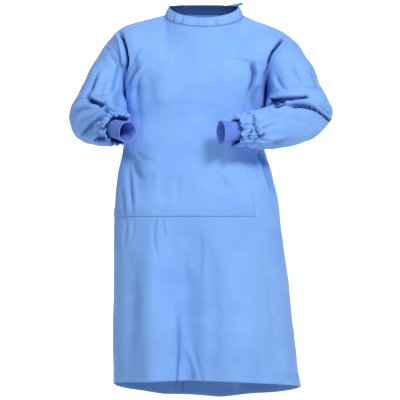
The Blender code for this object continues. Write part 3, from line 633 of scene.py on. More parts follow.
@dataclass
class BodyForm:
    """The shape of the gown's body, which its panels, collar and sleeves all start from.

    Places on it are across (-1 at the right side seam, 1 at the left one) and level (0 at the hem, 1 at
    the armpits, 2 at the shoulder seams and the neckline).
    """

    hem_z: float = -1.157
    armpit_z: float = -0.232
    front_hem_rise: float = 0.038
    back_hem_drop: float = 0.066
    hem_tilt: float = 0.012
    neck_centre_x: float = 0.003
    neck_half_width: float = 0.1225
    neck_y: dict = field(default_factory=lambda: {Half.FRONT: -0.098, Half.BACK: 0.080})
    neck_z: dict = field(default_factory=lambda: {Half.FRONT: -0.039, Half.BACK: 0.018})
    neck_side_z: float = 0.008
    neck_share: float = 0.44
    lap_share: float = 0.176
    lap_rise: float = 0.0040
    neck_steps: int = 92
    shoulder_steps: int = 54
    skirt_steps: int = 66
    reinforced_steps: int = 56
    breast_steps: int = 9
    upper_steps: int = 78
    reinforcement_foot: float = 0.572
    reinforcement_top: float = 0.952
    # z, centre, to the right, to the left, front, back, squareness
    sections: tuple = (
        (-1.157, 0.010, 0.291, 0.296, 0.215, 0.230, 2.15),
        (-1.000, 0.004, 0.288, 0.282, 0.203, 0.214, 2.20),
        (-0.850, -0.002, 0.279, 0.273, 0.187, 0.190, 2.30),
        (-0.665, -0.010, 0.270, 0.256, 0.166, 0.165, 2.40),
        (-0.570, -0.018, 0.256, 0.254, 0.154, 0.150, 2.45),
        (-0.480, -0.026, 0.239, 0.238, 0.144, 0.130, 2.45),
        (-0.420, -0.029, 0.223, 0.223, 0.138, 0.112, 2.40),
        (-0.330, -0.026, 0.219, 0.219, 0.142, 0.120, 2.50),
        (-0.232, -0.021, 0.222, 0.221, 0.138, 0.126, 2.70),
    )
    # share of the way out, x, z
    shoulder_seam: dict = field(
        default_factory=lambda: {
            Side.LEFT: (
                (0.00, 0.1255, 0.008),
                (0.20, 0.1610, -0.008),
                (0.50, 0.2110, -0.0265),
                (0.78, 0.2580, -0.0490),
                (1.00, 0.3000, -0.083),
            ),
            Side.RIGHT: (
                (0.00, -0.1195, 0.008),
                (0.30, -0.1830, -0.008),
                (0.62, -0.2460, -0.027),
                (0.80, -0.2740, -0.046),
                (1.00, -0.3040, -0.081),
            ),
        }
    )
    # share of the way up from the armpit, x, y, z
    armholes: dict = field(
        default_factory=lambda: {
            (Side.LEFT, Half.FRONT): (
                (0.00, 0.200, 0.000, -0.232),
                (0.30, 0.204, -0.054, -0.186),
                (0.56, 0.221, -0.080, -0.134),
                (0.78, 0.252, -0.062, -0.100),
                (1.00, 0.300, 0.000, -0.083),
            ),
            (Side.LEFT, Half.BACK): (
                (0.00, 0.200, 0.000, -0.232),
                (0.30, 0.209, 0.056, -0.186),
                (0.58, 0.234, 0.082, -0.132),
                (0.80, 0.268, 0.062, -0.094),
                (1.00, 0.300, 0.000, -0.083),
            ),
            (Side.RIGHT, Half.FRONT): (
                (0.00, -0.243, 0.000, -0.232),
                (0.30, -0.245, -0.054, -0.186),
                (0.56, -0.258, -0.078, -0.134),
                (0.78, -0.281, -0.060, -0.102),
                (1.00, -0.304, 0.000, -0.081),
            ),
            (Side.RIGHT, Half.BACK): (
                (0.00, -0.243, 0.000, -0.232),
                (0.30, -0.250, 0.056, -0.186),
                (0.58, -0.265, 0.082, -0.132),
                (0.80, -0.285, 0.060, -0.094),
                (1.00, -0.304, 0.000, -0.081),
            ),
        }
    )

    def columns(self) -> Array:
        """Where a panel's columns lie, from one side seam to the other."""
        neck = np.linspace(-self.neck_share, self.neck_share, self.neck_steps + 1)
        shoulder = np.linspace(self.neck_share, 1.0, self.shoulder_steps + 1)[1:]
        return np.concatenate([-shoulder[::-1], neck, shoulder])

    def levels(self) -> Array:
        """Where a panel's rows lie, with rows on both edges of the reinforcement."""
        skirt = np.linspace(0.0, self.reinforcement_foot, self.skirt_steps + 1)
        middle = np.linspace(self.reinforcement_foot, self.reinforcement_top, self.reinforced_steps + 1)[1:]
        breast = np.linspace(self.reinforcement_top, 1.0, self.breast_steps + 1)[1:]
        upper = np.linspace(1.0, 2.0, self.upper_steps + 1)[1:]
        return np.concatenate([skirt, middle, breast, upper])

    def quarter_ring(self, side: float, depth: float, squareness: float, shares: Array) -> tuple[Array, Array]:
        """Points at even lengths along a quarter of a ring, from its middle to its side.

        Args:
            side: the ring's reach sideways.
            depth: its reach forward or backward.
            squareness: 2 for an ellipse, more for a squarer ring.
            shares: places along it from 0 to 1.

        Returns:
            The points' distances sideways and in depth.
        """
        angles = np.linspace(0.0, np.pi / 2, 120)
        reach = ((np.cos(angles) / depth) ** squareness + (np.sin(angles) / side) ** squareness) ** (
            -1.0 / squareness
        )
        x, y = reach * np.sin(angles), reach * np.cos(angles)
        along = np.concatenate([[0.0], np.cumsum(np.hypot(np.diff(x), np.diff(y)))])
        along /= along[-1]
        return np.interp(shares, along, x), np.interp(shares, along, y)

    def lower(self, half: Half, across: Array, levels: Array) -> Array:
        """Rings of one half from the hem to the armpits."""
        heights = [section[0] for section in self.sections]
        z_at_side = self.hem_z + (self.armpit_z - self.hem_z) * levels
        rows = smooth(heights, [section[1:] for section in self.sections], z_at_side)
        rise = self.front_hem_rise if half is Half.FRONT else -self.back_hem_drop
        hem_lift = rise * np.cos(np.pi / 2 * across) - self.hem_tilt * across / 2
        grid = np.zeros((len(levels), len(across), 3))
        for row, level, z, section in zip(grid, levels, z_at_side, rows):
            centre, to_right, to_left, front, back, squareness = section
            depth = front if half is Half.FRONT else back
            for sign, side, here in ((-1.0, to_right, across <= 0), (1.0, to_left, across > 0)):
                x, y = self.quarter_ring(side, depth, squareness, np.abs(across[here]))
                row[here, 0] = centre + sign * x
                row[here, 1] = half.facing * y
            row[:, 2] = z + hem_lift * (1.0 - level) ** 3
        return grid

    def top_edge(self, half: Half, across: Array) -> Array:
        """The shoulder seams and the neckline, from one shoulder tip to the other."""
        edge = np.zeros((len(across), 3))
        outward = (np.abs(across) - self.neck_share) / (1.0 - self.neck_share)
        for side, here in ((Side.LEFT, across > self.neck_share), (Side.RIGHT, across < -self.neck_share)):
            seam = self.shoulder_seam[side]
            edge[here] = smooth([p[0] for p in seam], [(p[1], 0.0, p[2]) for p in seam], outward[here])
        neck = np.abs(across) <= self.neck_share + 1e-9
        turn = across[neck] / self.neck_share * np.pi / 2
        edge[neck, 0] = self.neck_centre_x + self.neck_half_width * np.sin(turn)
        edge[neck, 1] = self.neck_y[half] * np.cos(turn)
        edge[neck, 2] = self.neck_side_z + (self.neck_z[half] - self.neck_side_z) * np.cos(turn)
        return edge

    def soft_top_edge(self, half: Half, across: Array) -> Array:
        """The top edge with its corners at the neck rounded off, for the cloth well below it."""
        reach = 0.16 * ease((1.0 - np.abs(across)) / 0.35)
        shifts = np.linspace(-1.0, 1.0, 9)
        weights = np.cos(shifts * np.pi / 2) ** 2 + 0.02
        edges = [self.top_edge(half, across + shift * reach) * w for shift, w in zip(shifts, weights)]
        return sum(edges) / weights.sum()

    def armhole(self, side: Side, half: Half, shares: Array) -> Array:
        """The armhole seam from the armpit (share 0) to the shoulder tip (share 1)."""
        rows = self.armholes[side, half]
        return smooth([p[0] for p in rows], [p[1:] for p in rows], shares)

    def chest_paths(self, half: Half, across: Array, shares: Array) -> Array:
        """Paths from the armpit level (share 0) over the chest or back to the top edge (share 1)."""
        below, foot = self.lower(half, across, np.array([0.97, 1.0]))
        s = np.asarray(shares, float)[:, None, None]
        top = self.top_edge(half, across)
        soft = self.soft_top_edge(half, across)
        top_at = soft + (top - soft) * ease((s - 0.45) / 0.55)
        length = np.linalg.norm(top - foot, axis=1, keepdims=True)
        rise = unit(foot - below) * length
        over_shoulder = ease((np.abs(across) - 0.20) / 0.45)[:, None]
        at_neck = np.array([0.0, -0.30 * half.facing, 1.0])
        at_neck[1] = 0.30 if half is Half.FRONT else -0.30
        at_shoulder = np.array([0.0, 1.0 if half is Half.FRONT else -1.0, 0.28])
        arrive = unit(at_neck * (1 - over_shoulder) + at_shoulder * over_shoulder) * length
        return (
            foot * (2 * s**3 - 3 * s**2 + 1)
            + rise * (s**3 - 2 * s**2 + s)
            + top_at * (3 * s**2 - 2 * s**3)
            + arrive * (s**3 - s**2)
        )

    def upper(self, half: Half, across: Array, levels: Array) -> Array:
        """The chest or back above the armpits, its paths bent to end on the armholes."""
        shares = levels - 1.0
        grid = self.chest_paths(half, across, shares)
        near_arm = ease((np.abs(across) - 0.40) / 0.60)[None, :, None]
        for side, edge, here in ((Side.RIGHT, -1.0, across < 0), (Side.LEFT, 1.0, across > 0)):
            unbent = self.chest_paths(half, np.array([edge]), shares)
            shift = self.armhole(side, half, shares)[:, None] - unbent
            grid[:, here] += near_arm[:, here] * shift
        return grid

    def surface(self, half: Half, across: Array, levels: Array) -> Array:
        """One half of the body at any places across and levels."""
        low = self.lower(half, across, levels[levels <= 1.0])
        return np.concatenate([low, self.upper(half, across, levels[levels > 1.0])])

    def normals(self, half: Half, grid: Array) -> Array:
        """Outward normals of one half."""
        return normals_of(grid, False) * -half.facing

    def seam_hold(self, across: Array, levels: Array) -> Array:
        """0 on the seams that two pieces share and 1 away from them, so that no crease parts a seam."""
        side = ease((1.0 - np.abs(across)) / 0.04)[None, :]
        return side * ease((2.0 - levels) / 0.16)[:, None]

    def lap_shift(self, across: Array) -> Array:
        """How far the lapping back panel stands out, growing before the lap starts."""
        return self.lap_rise * ease((across + self.lap_share + 0.14) / 0.12)


# The gown's largest folds, which its solids have too
FRONT_FOLDS = (
    Crease(((-0.070, -0.60), (-0.068, -0.84), (-0.052, -1.14)), 0.036, -0.026, 0.0, 0.7, 0.0),
    Crease(((-0.150, -0.52), (-0.166, -0.85), (-0.150, -1.14)), 0.036, 0.017, 0.0, 0.6, 0.0),
    Crease(((0.085, -0.55), (0.095, -0.85), (0.100, -1.14)), 0.075, 0.018, 0.0, 0.6, 0.0),
    Crease(((0.200, -0.66), (0.215, -0.85), (0.235, -1.14)), 0.035, -0.011, 0.0, 0.5, 0.2),
    Crease(((0.160, -0.140), (0.156, -0.20), (0.146, -0.31)), 0.024, -0.011, 0.0, 0.2, 0.6),
    Crease(((-0.176, -0.170), (-0.168, -0.23), (-0.172, -0.34)), 0.026, -0.009, 0.0, 0.4, 0.6),
    Crease(((0.196, -0.44), (0.160, -0.53), (0.130, -0.66)), 0.030, 0.008, 0.0, 0.3, 0.7),
    Crease(((-0.235, -0.43), (-0.205, -0.52), (-0.190, -0.62)), 0.026, -0.008, 0.0, 0.3, 0.6),
)
BACK_FOLDS = (
    Crease(((0.205, -0.17), (0.208, -0.26), (0.200, -0.36)), 0.030, 0.018, 0.0, 0.4, 0.4),
    Crease(((-0.250, -0.17), (-0.252, -0.25), (-0.250, -0.33)), 0.030, 0.017, 0.0, 0.4, 0.4),
    Crease(((0.150, -0.15), (0.140, -0.25), (0.120, -0.38)), 0.035, -0.009, 0.0, 0.4, 0.4),
    Crease(((-0.190, -0.15), (-0.180, -0.25), (-0.160, -0.38)), 0.035, -0.009, 0.0, 0.4, 0.4),
    Crease(((0.120, -0.50), (0.150, -0.80), (0.165, -1.20)), 0.050, 0.016, 0.0, 0.5, 0.0),
    Crease(((0.030, -0.55), (0.050, -0.80), (0.062, -1.22)), 0.040, -0.014, 0.0, 0.6, 0.0),
    Crease(((-0.050, -0.50), (-0.045, -0.80), (-0.040, -1.22)), 0.045, 0.013, 0.0, 0.6, 0.0),
    Crease(((-0.110, -0.52), (-0.130, -0.80), (-0.140, -1.22)), 0.038, -0.015, 0.0, 0.6, 0.0),
    Crease(((-0.170, -0.50), (-0.200, -0.80), (-0.215, -1.18)), 0.040, 0.013, 0.0, 0.6, 0.0),
)

# The finer creases of the front, by what they are
FRONT_CREASES = (
    # The sleeve heads' folds over the chest, right then left
    Crease(((-0.266, -0.046), (-0.252, -0.072), (-0.241, -0.110), (-0.237, -0.142), (-0.243, -0.176), (-0.246, -0.205)), 0.0052, -0.0210, -0.40, 0.12, 0.1),
    Crease(((-0.226, -0.060), (-0.212, -0.095), (-0.208, -0.140)), 0.0090, 0.0035, 0.0, 0.4, 0.5),
    Crease(((0.262, -0.058), (0.236, -0.092), (0.212, -0.130), (0.203, -0.166), (0.194, -0.206)), 0.0048, -0.0190, 0.35, 0.15, 0.1),
    # Drag lines from the chest to the right armpit
    Crease(((-0.174, -0.140), (-0.203, -0.168), (-0.224, -0.200), (-0.236, -0.236)), 0.0060, -0.0085, 0.35, 0.5, 0.2),
    Crease(((-0.186, -0.100), (-0.206, -0.128), (-0.226, -0.160)), 0.0050, -0.0055, 0.3, 0.5, 0.3),
    Crease(((-0.172, -0.170), (-0.196, -0.200), (-0.214, -0.250), (-0.216, -0.300)), 0.0065, -0.0065, -0.3, 0.5, 0.4),
    Crease(((-0.190, -0.200), (-0.204, -0.240), (-0.206, -0.310), (-0.200, -0.360)), 0.018, -0.0100, 0.0, 0.4, 0.4),
    # The drape from the left breast
    Crease(((0.076, -0.144), (0.115, -0.146), (0.146, -0.150)), 0.0050, -0.0050, 0.3, 0.6, 0.2),
    Crease(((0.146, -0.150), (0.156, -0.180), (0.152, -0.215), (0.140, -0.252), (0.134, -0.300)), 0.0070, -0.0120, 0.45, 0.15, 0.5),
    Crease(((0.164, -0.215), (0.158, -0.262), (0.164, -0.320)), 0.0110, -0.0100, 0.0, 0.4, 0.4),
    # The dark fold under the left armpit
    Crease(((0.204, -0.160), (0.198, -0.205), (0.193, -0.250), (0.190, -0.320)), 0.0095, -0.032, 0.0, 0.4, 0.2),
    # Wide soft shadows over the breast and the belly
    Crease(((-0.080, -0.100), (-0.040, -0.160), (-0.030, -0.230)), 0.030, -0.0028, 0.0, 0.5, 0.5),
    Crease(((0.040, -0.290), (-0.040, -0.320), (-0.110, -0.318)), 0.020, -0.0030, 0.0, 0.5, 0.5),
    # The waist, drawn back by its ties
    Crease(((0.170, -0.415), (0.190, -0.465), (0.210, -0.530), (0.222, -0.600)), 0.0075, -0.0130, -0.30, 0.15, 0.5),
    Crease(((0.150, -0.430), (0.166, -0.470), (0.186, -0.540)), 0.0060, -0.0050, 0.3, 0.3, 0.5),
    Crease(((-0.238, -0.460), (-0.228, -0.510), (-0.220, -0.575), (-0.216, -0.640)), 0.0070, -0.0080, 0.35, 0.3, 0.4),
    Crease(((-0.256, -0.520), (-0.247, -0.575), (-0.244, -0.640)), 0.0060, -0.0060, 0.3, 0.4, 0.4),
    Crease(((-0.215, -0.425), (-0.180, -0.448), (-0.130, -0.458)), 0.0070, -0.0050, 0.3, 0.4, 0.5),
    Crease(((-0.222, -0.455), (-0.196, -0.500), (-0.160, -0.530)), 0.0070, -0.0045, 0.3, 0.3, 0.6),
    # The skirt's narrow folds within its broad ones
    Crease(((-0.080, -0.800), (-0.072, -0.900), (-0.069, -1.000), (-0.070, -1.060), (-0.076, -1.125)), 0.0070, -0.0085, -0.35, 0.5, 0.0),
    Crease(((-0.061, -0.995), (-0.046, -1.035), (-0.028, -1.085), (-0.018, -1.120)), 0.0080, 0.0055, 0.0, 0.4, 0.0),
    Crease(((-0.044, -1.010), (-0.030, -1.055), (-0.008, -1.110)), 0.0080, -0.0030, 0.0, 0.4, 0.0),
    Crease(((-0.014, -0.640), (-0.010, -0.740), (-0.013, -0.880)), 0.0080, -0.0030, 0.3, 0.4, 0.5),
    Crease(((-0.046, -0.690), (-0.044, -0.770), (-0.046, -0.880)), 0.0100, 0.0024, 0.0, 0.5, 0.5),
    Crease(((-0.090, -0.640), (-0.086, -0.740), (-0.094, -0.860)), 0.0100, -0.0036, -0.3, 0.3, 0.5),
    Crease(((-0.139, -0.625), (-0.150, -0.660), (-0.146, -0.720), (-0.136, -0.760)), 0.0055, -0.0050, 0.3, 0.2, 0.5),
    Crease(((-0.126, -0.630), (-0.120, -0.670), (-0.108, -0.700)), 0.0050, -0.0040, 0.3, 0.2, 0.5),
    Crease(((-0.236, -0.640), (-0.240, -0.680), (-0.242, -0.740)), 0.0060, -0.0050, 0.3, 0.2, 0.6),
    Crease(((-0.215, -0.640), (-0.214, -0.670), (-0.218, -0.700)), 0.0050, -0.0035, 0.0, 0.2, 0.6),
    Crease(((-0.205, -0.720), (-0.215, -0.850), (-0.222, -1.000), (-0.232, -1.120)), 0.0200, -0.0070, 0.0, 0.5, 0.0),
    Crease(((0.085, -0.665), (0.125, -0.690), (0.160, -0.684)), 0.0090, -0.0035, 0.3, 0.4, 0.5),
    Crease(((-0.040, -0.600), (-0.034, -0.740), (-0.040, -0.920), (-0.048, -1.140)), 0.046, -0.0120, 0.0, 0.25, 0.0),
    Crease(((-0.150, -0.640), (-0.150, -0.850), (-0.152, -1.140)), 0.026, 0.0050, 0.0, 0.4, 0.0),
    Crease(((0.075, -0.660), (0.080, -0.850), (0.080, -1.140)), 0.040, 0.0060, 0.0, 0.4, 0.0),
    Crease(((-0.232, -0.420), (-0.214, -0.480), (-0.196, -0.560)), 0.020, -0.0090, 0.0, 0.3, 0.5),
    Crease(((0.030, -0.640), (0.024, -0.760), (0.034, -0.900), (0.030, -1.110)), 0.0180, -0.0036, -0.2, 0.4, 0.0),
    Crease(((0.176, -0.760), (0.172, -0.900), (0.182, -1.110)), 0.0170, -0.0036, 0.2, 0.5, 0.0),
    Crease(((0.190, -0.870), (0.214, -0.925), (0.246, -0.975)), 0.0120, -0.0040, 0.3, 0.5, 0.5),
    Crease(((0.206, -0.640), (0.232, -0.700), (0.256, -0.800)), 0.0100, -0.0070, 0.3, 0.4, 0.5),
    Crease(((-0.145, -0.560), (-0.140, -0.500), (-0.130, -0.465)), 0.0120, 0.0045, 0.0, 0.3, 0.5),
    Crease(((0.020, -0.470), (0.060, -0.520), (0.070, -0.600)), 0.0120, -0.0035, 0.3, 0.4, 0.5),
    Crease(((-0.060, -0.480), (-0.080, -0.540), (-0.075, -0.610)), 0.0120, -0.0035, -0.3, 0.4, 0.5),
)
BACK_CREASES = (
    # Cloth drawn to the waist tie, above it and below it
    Crease(((0.060, -0.445), (0.085, -0.520), (0.100, -0.640)), 0.0100, -0.0065, 0.35, 0.1, 0.6),
    Crease(((0.118, -0.440), (0.150, -0.520), (0.175, -0.620)), 0.0110, -0.0065, -0.35, 0.1, 0.6),
    Crease(((-0.085, -0.445), (-0.105, -0.520), (-0.118, -0.640)), 0.0100, -0.0065, -0.35, 0.1, 0.6),
    Crease(((-0.150, -0.440), (-0.178, -0.520), (-0.205, -0.610)), 0.0110, -0.0060, 0.35, 0.1, 0.6),
    Crease(((0.075, -0.420), (0.098, -0.360), (0.118, -0.290)), 0.0100, -0.0055, -0.35, 0.1, 0.6),
    Crease(((-0.100, -0.420), (-0.122, -0.355), (-0.140, -0.285)), 0.0100, -0.0055, 0.35, 0.1, 0.6),
    Crease(((0.160, -0.415), (0.172, -0.360), (0.190, -0.300)), 0.0090, -0.0050, -0.3, 0.1, 0.6),
    Crease(((-0.190, -0.415), (-0.205, -0.355), (-0.225, -0.300)), 0.0090, -0.0050, 0.3, 0.1, 0.6),
    # Drag lines from the armholes over the shoulder blades
    Crease(((0.222, -0.180), (0.190, -0.210), (0.140, -0.225)), 0.0090, -0.0055, 0.3, 0.1, 0.6),
    Crease(((-0.252, -0.180), (-0.220, -0.212), (-0.170, -0.228)), 0.0090, -0.0055, -0.3, 0.1, 0.6),
    Crease(((0.240, -0.120), (0.224, -0.150), (0.216, -0.190)), 0.0080, -0.0080, 0.3, 0.2, 0.3),
    Crease(((-0.268, -0.120), (-0.252, -0.150), (-0.246, -0.190)), 0.0080, -0.0080, -0.3, 0.2, 0.3),
    # The skirt's narrow folds
    Crease(((0.095, -0.760), (0.104, -0.920), (0.108, -1.180)), 0.0120, -0.0060, 0.3, 0.4, 0.0),
    Crease(((-0.085, -0.800), (-0.092, -0.960), (-0.100, -1.190)), 0.0120, -0.0055, -0.3, 0.4, 0.0),
    Crease(((0.205, -0.700), (0.222, -0.860), (0.236, -1.120)), 0.0130, -0.0050, 0.3, 0.4, 0.1),
    Crease(((-0.238, -0.760), (-0.250, -0.900), (-0.262, -1.080)), 0.0120, -0.0050, 0.0, 0.4, 0.3),
    # Soft folds below the collar
    Crease(((0.060, -0.035), (0.085, -0.080), (0.100, -0.130)), 0.0090, -0.0035, 0.0, 0.3, 0.6),
    Crease(((-0.070, -0.035), (-0.095, -0.080), (-0.112, -0.130)), 0.0090, -0.0035, 0.0, 0.3, 0.6),
)


# Painted shadows where folds lie too deep for light, on the front and then on the sleeves
FRONT_PAINTED_SHADOWS = (
    Crease(((0.2045, -0.155), (0.2010, -0.200), (0.1970, -0.250), (0.1940, -0.320)), 0.0090, 1.0, 0.0, 0.5, 0.0),
    Crease(((0.158, -0.165), (0.156, -0.210), (0.144, -0.255), (0.136, -0.300)), 0.0080, 0.30, 0.0, 0.2, 0.3),
    Crease(((0.166, -0.215), (0.160, -0.262), (0.168, -0.320)), 0.0130, 0.35, 0.0, 0.3, 0.2),
    Crease(((-0.209, -0.125), (-0.203, -0.160), (-0.207, -0.195)), 0.0080, 0.40, 0.0, 0.3, 0.3),
    Crease(((-0.240, -0.260), (-0.226, -0.300), (-0.196, -0.325)), 0.0140, 0.35, 0.0, 0.2, 0.3),
    Crease(((-0.252, -0.420), (-0.230, -0.440), (-0.200, -0.450)), 0.0180, 0.40, 0.0, 0.1, 0.5),
    Crease(((0.174, -0.420), (0.193, -0.465), (0.213, -0.530), (0.226, -0.600)), 0.0050, 0.35, 0.0, 0.1, 0.5),
)
SLEEVE_PAINTED_SHADOWS = {
    Side.LEFT: (
        Crease(((0.208, -0.267), (0.250, -0.265), (0.296, -0.262), (0.328, -0.258)), 0.0052, 1.0, 0.0, 0.02, 0.12),
        Crease(((0.208, -0.272), (0.222, -0.277), (0.240, -0.288)), 0.0095, 1.0, 0.0, 0.05, 0.3),
        Crease(((0.250, -0.284), (0.310, -0.286), (0.345, -0.298), (0.396, -0.330)), 0.0040, 0.95, 0.0, 0.2, 0.02),
        Crease(((0.206, -0.215), (0.212, -0.240), (0.222, -0.262)), 0.0100, 0.30, 0.0, 0.2, 0.1),
        Crease(((0.200, -0.404), (0.230, -0.401), (0.256, -0.394)), 0.0080, 0.25, 0.0, 0.3, 0.4),
    ),
    Side.RIGHT: (
        Crease(((-0.357, -0.265), (-0.336, -0.272), (-0.314, -0.281), (-0.299, -0.287)), 0.0066, 1.0, 0.0, 0.1, 0.2),
        Crease(((-0.326, -0.392), (-0.308, -0.388), (-0.292, -0.392)), 0.0095, 0.85, 0.0, 0.2, 0.2),
        Crease(((-0.380, -0.378), (-0.350, -0.352), (-0.304, -0.317)), 0.0045, 0.40, 0.0, 0.3, 0.3),
        Crease(((-0.372, -0.350), (-0.330, -0.376)), 0.0280, 0.22, 0.0, 0.4, 0.4),
        Crease(((-0.262, -0.230), (-0.268, -0.262), (-0.262, -0.300)), 0.0100, 0.35, 0.0, 0.2, 0.2),
    ),
}


@dataclass
class Panels:
    """The front panel, its reinforcement and the two lapping back panels."""

    form: BodyForm
    cloth: bpy.types.Material
    thickness: float = 0.0011
    overlay_gap: float = 0.0004
    overlay_right: float = -0.93
    overlay_left: float = 0.52
    hem_depth: float = 0.036
    hem_step: float = 0.0007
    ripple_height: float = 0.0017
    # How dark the shade painted along the neck seam is
    painted_seam_shade: float = 0.38
    shapes: dict = field(default_factory=dict)
    normals: dict = field(default_factory=dict)
    painted_shades: dict = field(default_factory=dict)

    def shape(self, half: Half) -> Array:
        """One half with its folds, creases, slight ripples and turned-up hem, keeping the shade painted on it."""
        form = self.form
        across, levels = form.columns(), form.levels()
        grid = self.eased_corners(form.surface(half, across, levels), across, levels)
        outward = form.normals(half, grid)
        folds, creases = (FRONT_FOLDS, FRONT_CREASES) if half is Half.FRONT else (BACK_FOLDS, BACK_CREASES)
        hold = form.seam_hold(across, levels)[..., None]
        grid = grid + (creased(grid, outward, folds, half.facing) - grid) * hold
        outward = form.normals(half, grid)
        depth = crease_depth(grid, outward, creases, half.facing) * hold[..., 0]
        # Sharp creases are painted dark, and a line of painted shade runs along the neck seam
        sharp = painted_crease_shade(crease_depth(grid, outward, creases, half.facing, SHARP, -0.10) * hold[..., 0])
        at_neck = (levels >= 1.985)[:, None] & (np.abs(across) <= form.neck_share + 0.01)[None, :]
        self.painted_shades[half] = np.maximum(sharp, self.painted_seam_shade * at_neck)
        grid = grid + outward * depth[..., None]
        seed = 11 if half is Half.FRONT else 23
        arc = across[None, :] * 0.36 + np.zeros((len(levels), 1))
        height = grid[..., 2]
        rough = hills(arc, height, 0.055, seed) + 0.5 * hills(arc, height, 0.021, seed + 1)
        outward = form.normals(half, grid)
        grid = grid + outward * self.ripple_height * rough[..., None] * hold
        above_hem = (levels * 0.925)[:, None]
        turned_up = self.hem_step * ease((self.hem_depth - above_hem) / 0.004)
        if half is Half.FRONT:
            # Painted shadows in the front's deepest folds, on the parts that face forwards
            painted_shadows = painted_pocket_shade(grid, FRONT_PAINTED_SHADOWS) * ease((-outward[..., 1] - 0.10) / 0.30)
            self.painted_shades[half] = np.maximum(self.painted_shades[half], painted_shadows)
        return grid + outward * turned_up[..., None] * np.ones((1, len(across), 1))

    def eased_corners(self, grid: Array, across: Array, levels: Array) -> Array:
        """The same cloth with the bends below the neck's two corners rounded off."""
        near = np.exp(-(((np.abs(across) - self.form.neck_share) / 0.16) ** 2))[None, :]
        rows = ease((levels - 1.25) / 0.2) * ease((2.0 - levels) / 0.07)
        weight = (near * rows[:, None])[:, 1:-1, None]
        for _ in range(60):
            middle = (grid[:, :-2] + 2.0 * grid[:, 1:-1] + grid[:, 2:]) / 4
            grid[:, 1:-1] += (middle - grid[:, 1:-1]) * weight
        return grid

    def prepare(self) -> None:
        """Works out both halves and the normals that they share at their seams."""
        for half in Half:
            self.shapes[half] = self.shape(half)
            self.normals[half] = self.form.normals(half, self.shapes[half])
        for edge in (0, -1):
            shared = unit(self.normals[Half.FRONT][:, edge] + self.normals[Half.BACK][:, edge])
            for half in Half:
                self.normals[half][:, edge] = shared
        shoulder = np.abs(self.form.columns()) > self.form.neck_share
        shared = unit(self.normals[Half.FRONT][-1, shoulder] + self.normals[Half.BACK][-1, shoulder])
        for half in Half:
            self.normals[half][-1, shoulder] = shared

    def back_outer(self) -> Array:
        """The outside of the back, with the lapping panel's rise on its right part."""
        across = self.form.columns()
        shift = self.form.lap_shift(across) * (across <= self.form.lap_share + 1e-6)
        return self.shapes[Half.BACK] + self.normals[Half.BACK] * shift[None, :, None]

    def build(self) -> dict[str, bpy.types.Object]:
        """Makes the four cloth pieces.

        Returns:
            The pieces by name.
        """
        form, across = self.form, self.form.columns()
        front, facing = self.shapes[Half.FRONT], self.normals[Half.FRONT]
        shade = self.painted_shades[Half.FRONT]
        shell = Shell("front_panel", front, front - facing * self.thickness, shade=shade)
        made = {"front_panel": dressed(shell.make(self.cloth), "cloth", "front_panel")}
        self.declare(made["front_panel"], shell)
        rows = slice(form.skirt_steps, form.skirt_steps + form.reinforced_steps + 1)
        columns = (across >= self.overlay_right) & (across <= self.overlay_left)
        inner = front[rows, columns] + facing[rows, columns] * self.overlay_gap
        outer = inner + facing[rows, columns] * self.thickness
        shell = Shell("front_reinforcement", outer, inner, shade=shade[rows, columns])
        made["front_reinforcement"] = dressed(shell.make(self.cloth), "cloth", "front_reinforcement")
        self.declare(made["front_reinforcement"], shell)
        back, outward = self.shapes[Half.BACK], self.normals[Half.BACK]
        shade = self.painted_shades[Half.BACK]
        left = across >= -form.lap_share - 1e-6
        under = back - outward * self.thickness
        shell = Shell("back_left", back[:, left], under[:, left], shade=shade[:, left])
        made["back_left"] = dressed(shell.make(self.cloth), "cloth", "back_left")
        self.declare(made["back_left"], shell)
        right = across <= form.lap_share + 1e-6
        lifted = back + outward * form.lap_shift(across)[None, :, None]
        under = lifted - outward * self.thickness
        shell = Shell("back_right", lifted[:, right], under[:, right], shade=shade[:, right])
        made["back_right"] = dressed(shell.make(self.cloth), "cloth", "back_right")
        self.declare(made["back_right"], shell)
        return made

    def declare(
        self,
        piece: bpy.types.Object,
        shell: Shell,
    ) -> None:
        """Logs a panel's area on one side."""
        LOG.info("%s: %.4f m2 on one side", piece.name, shell.area())


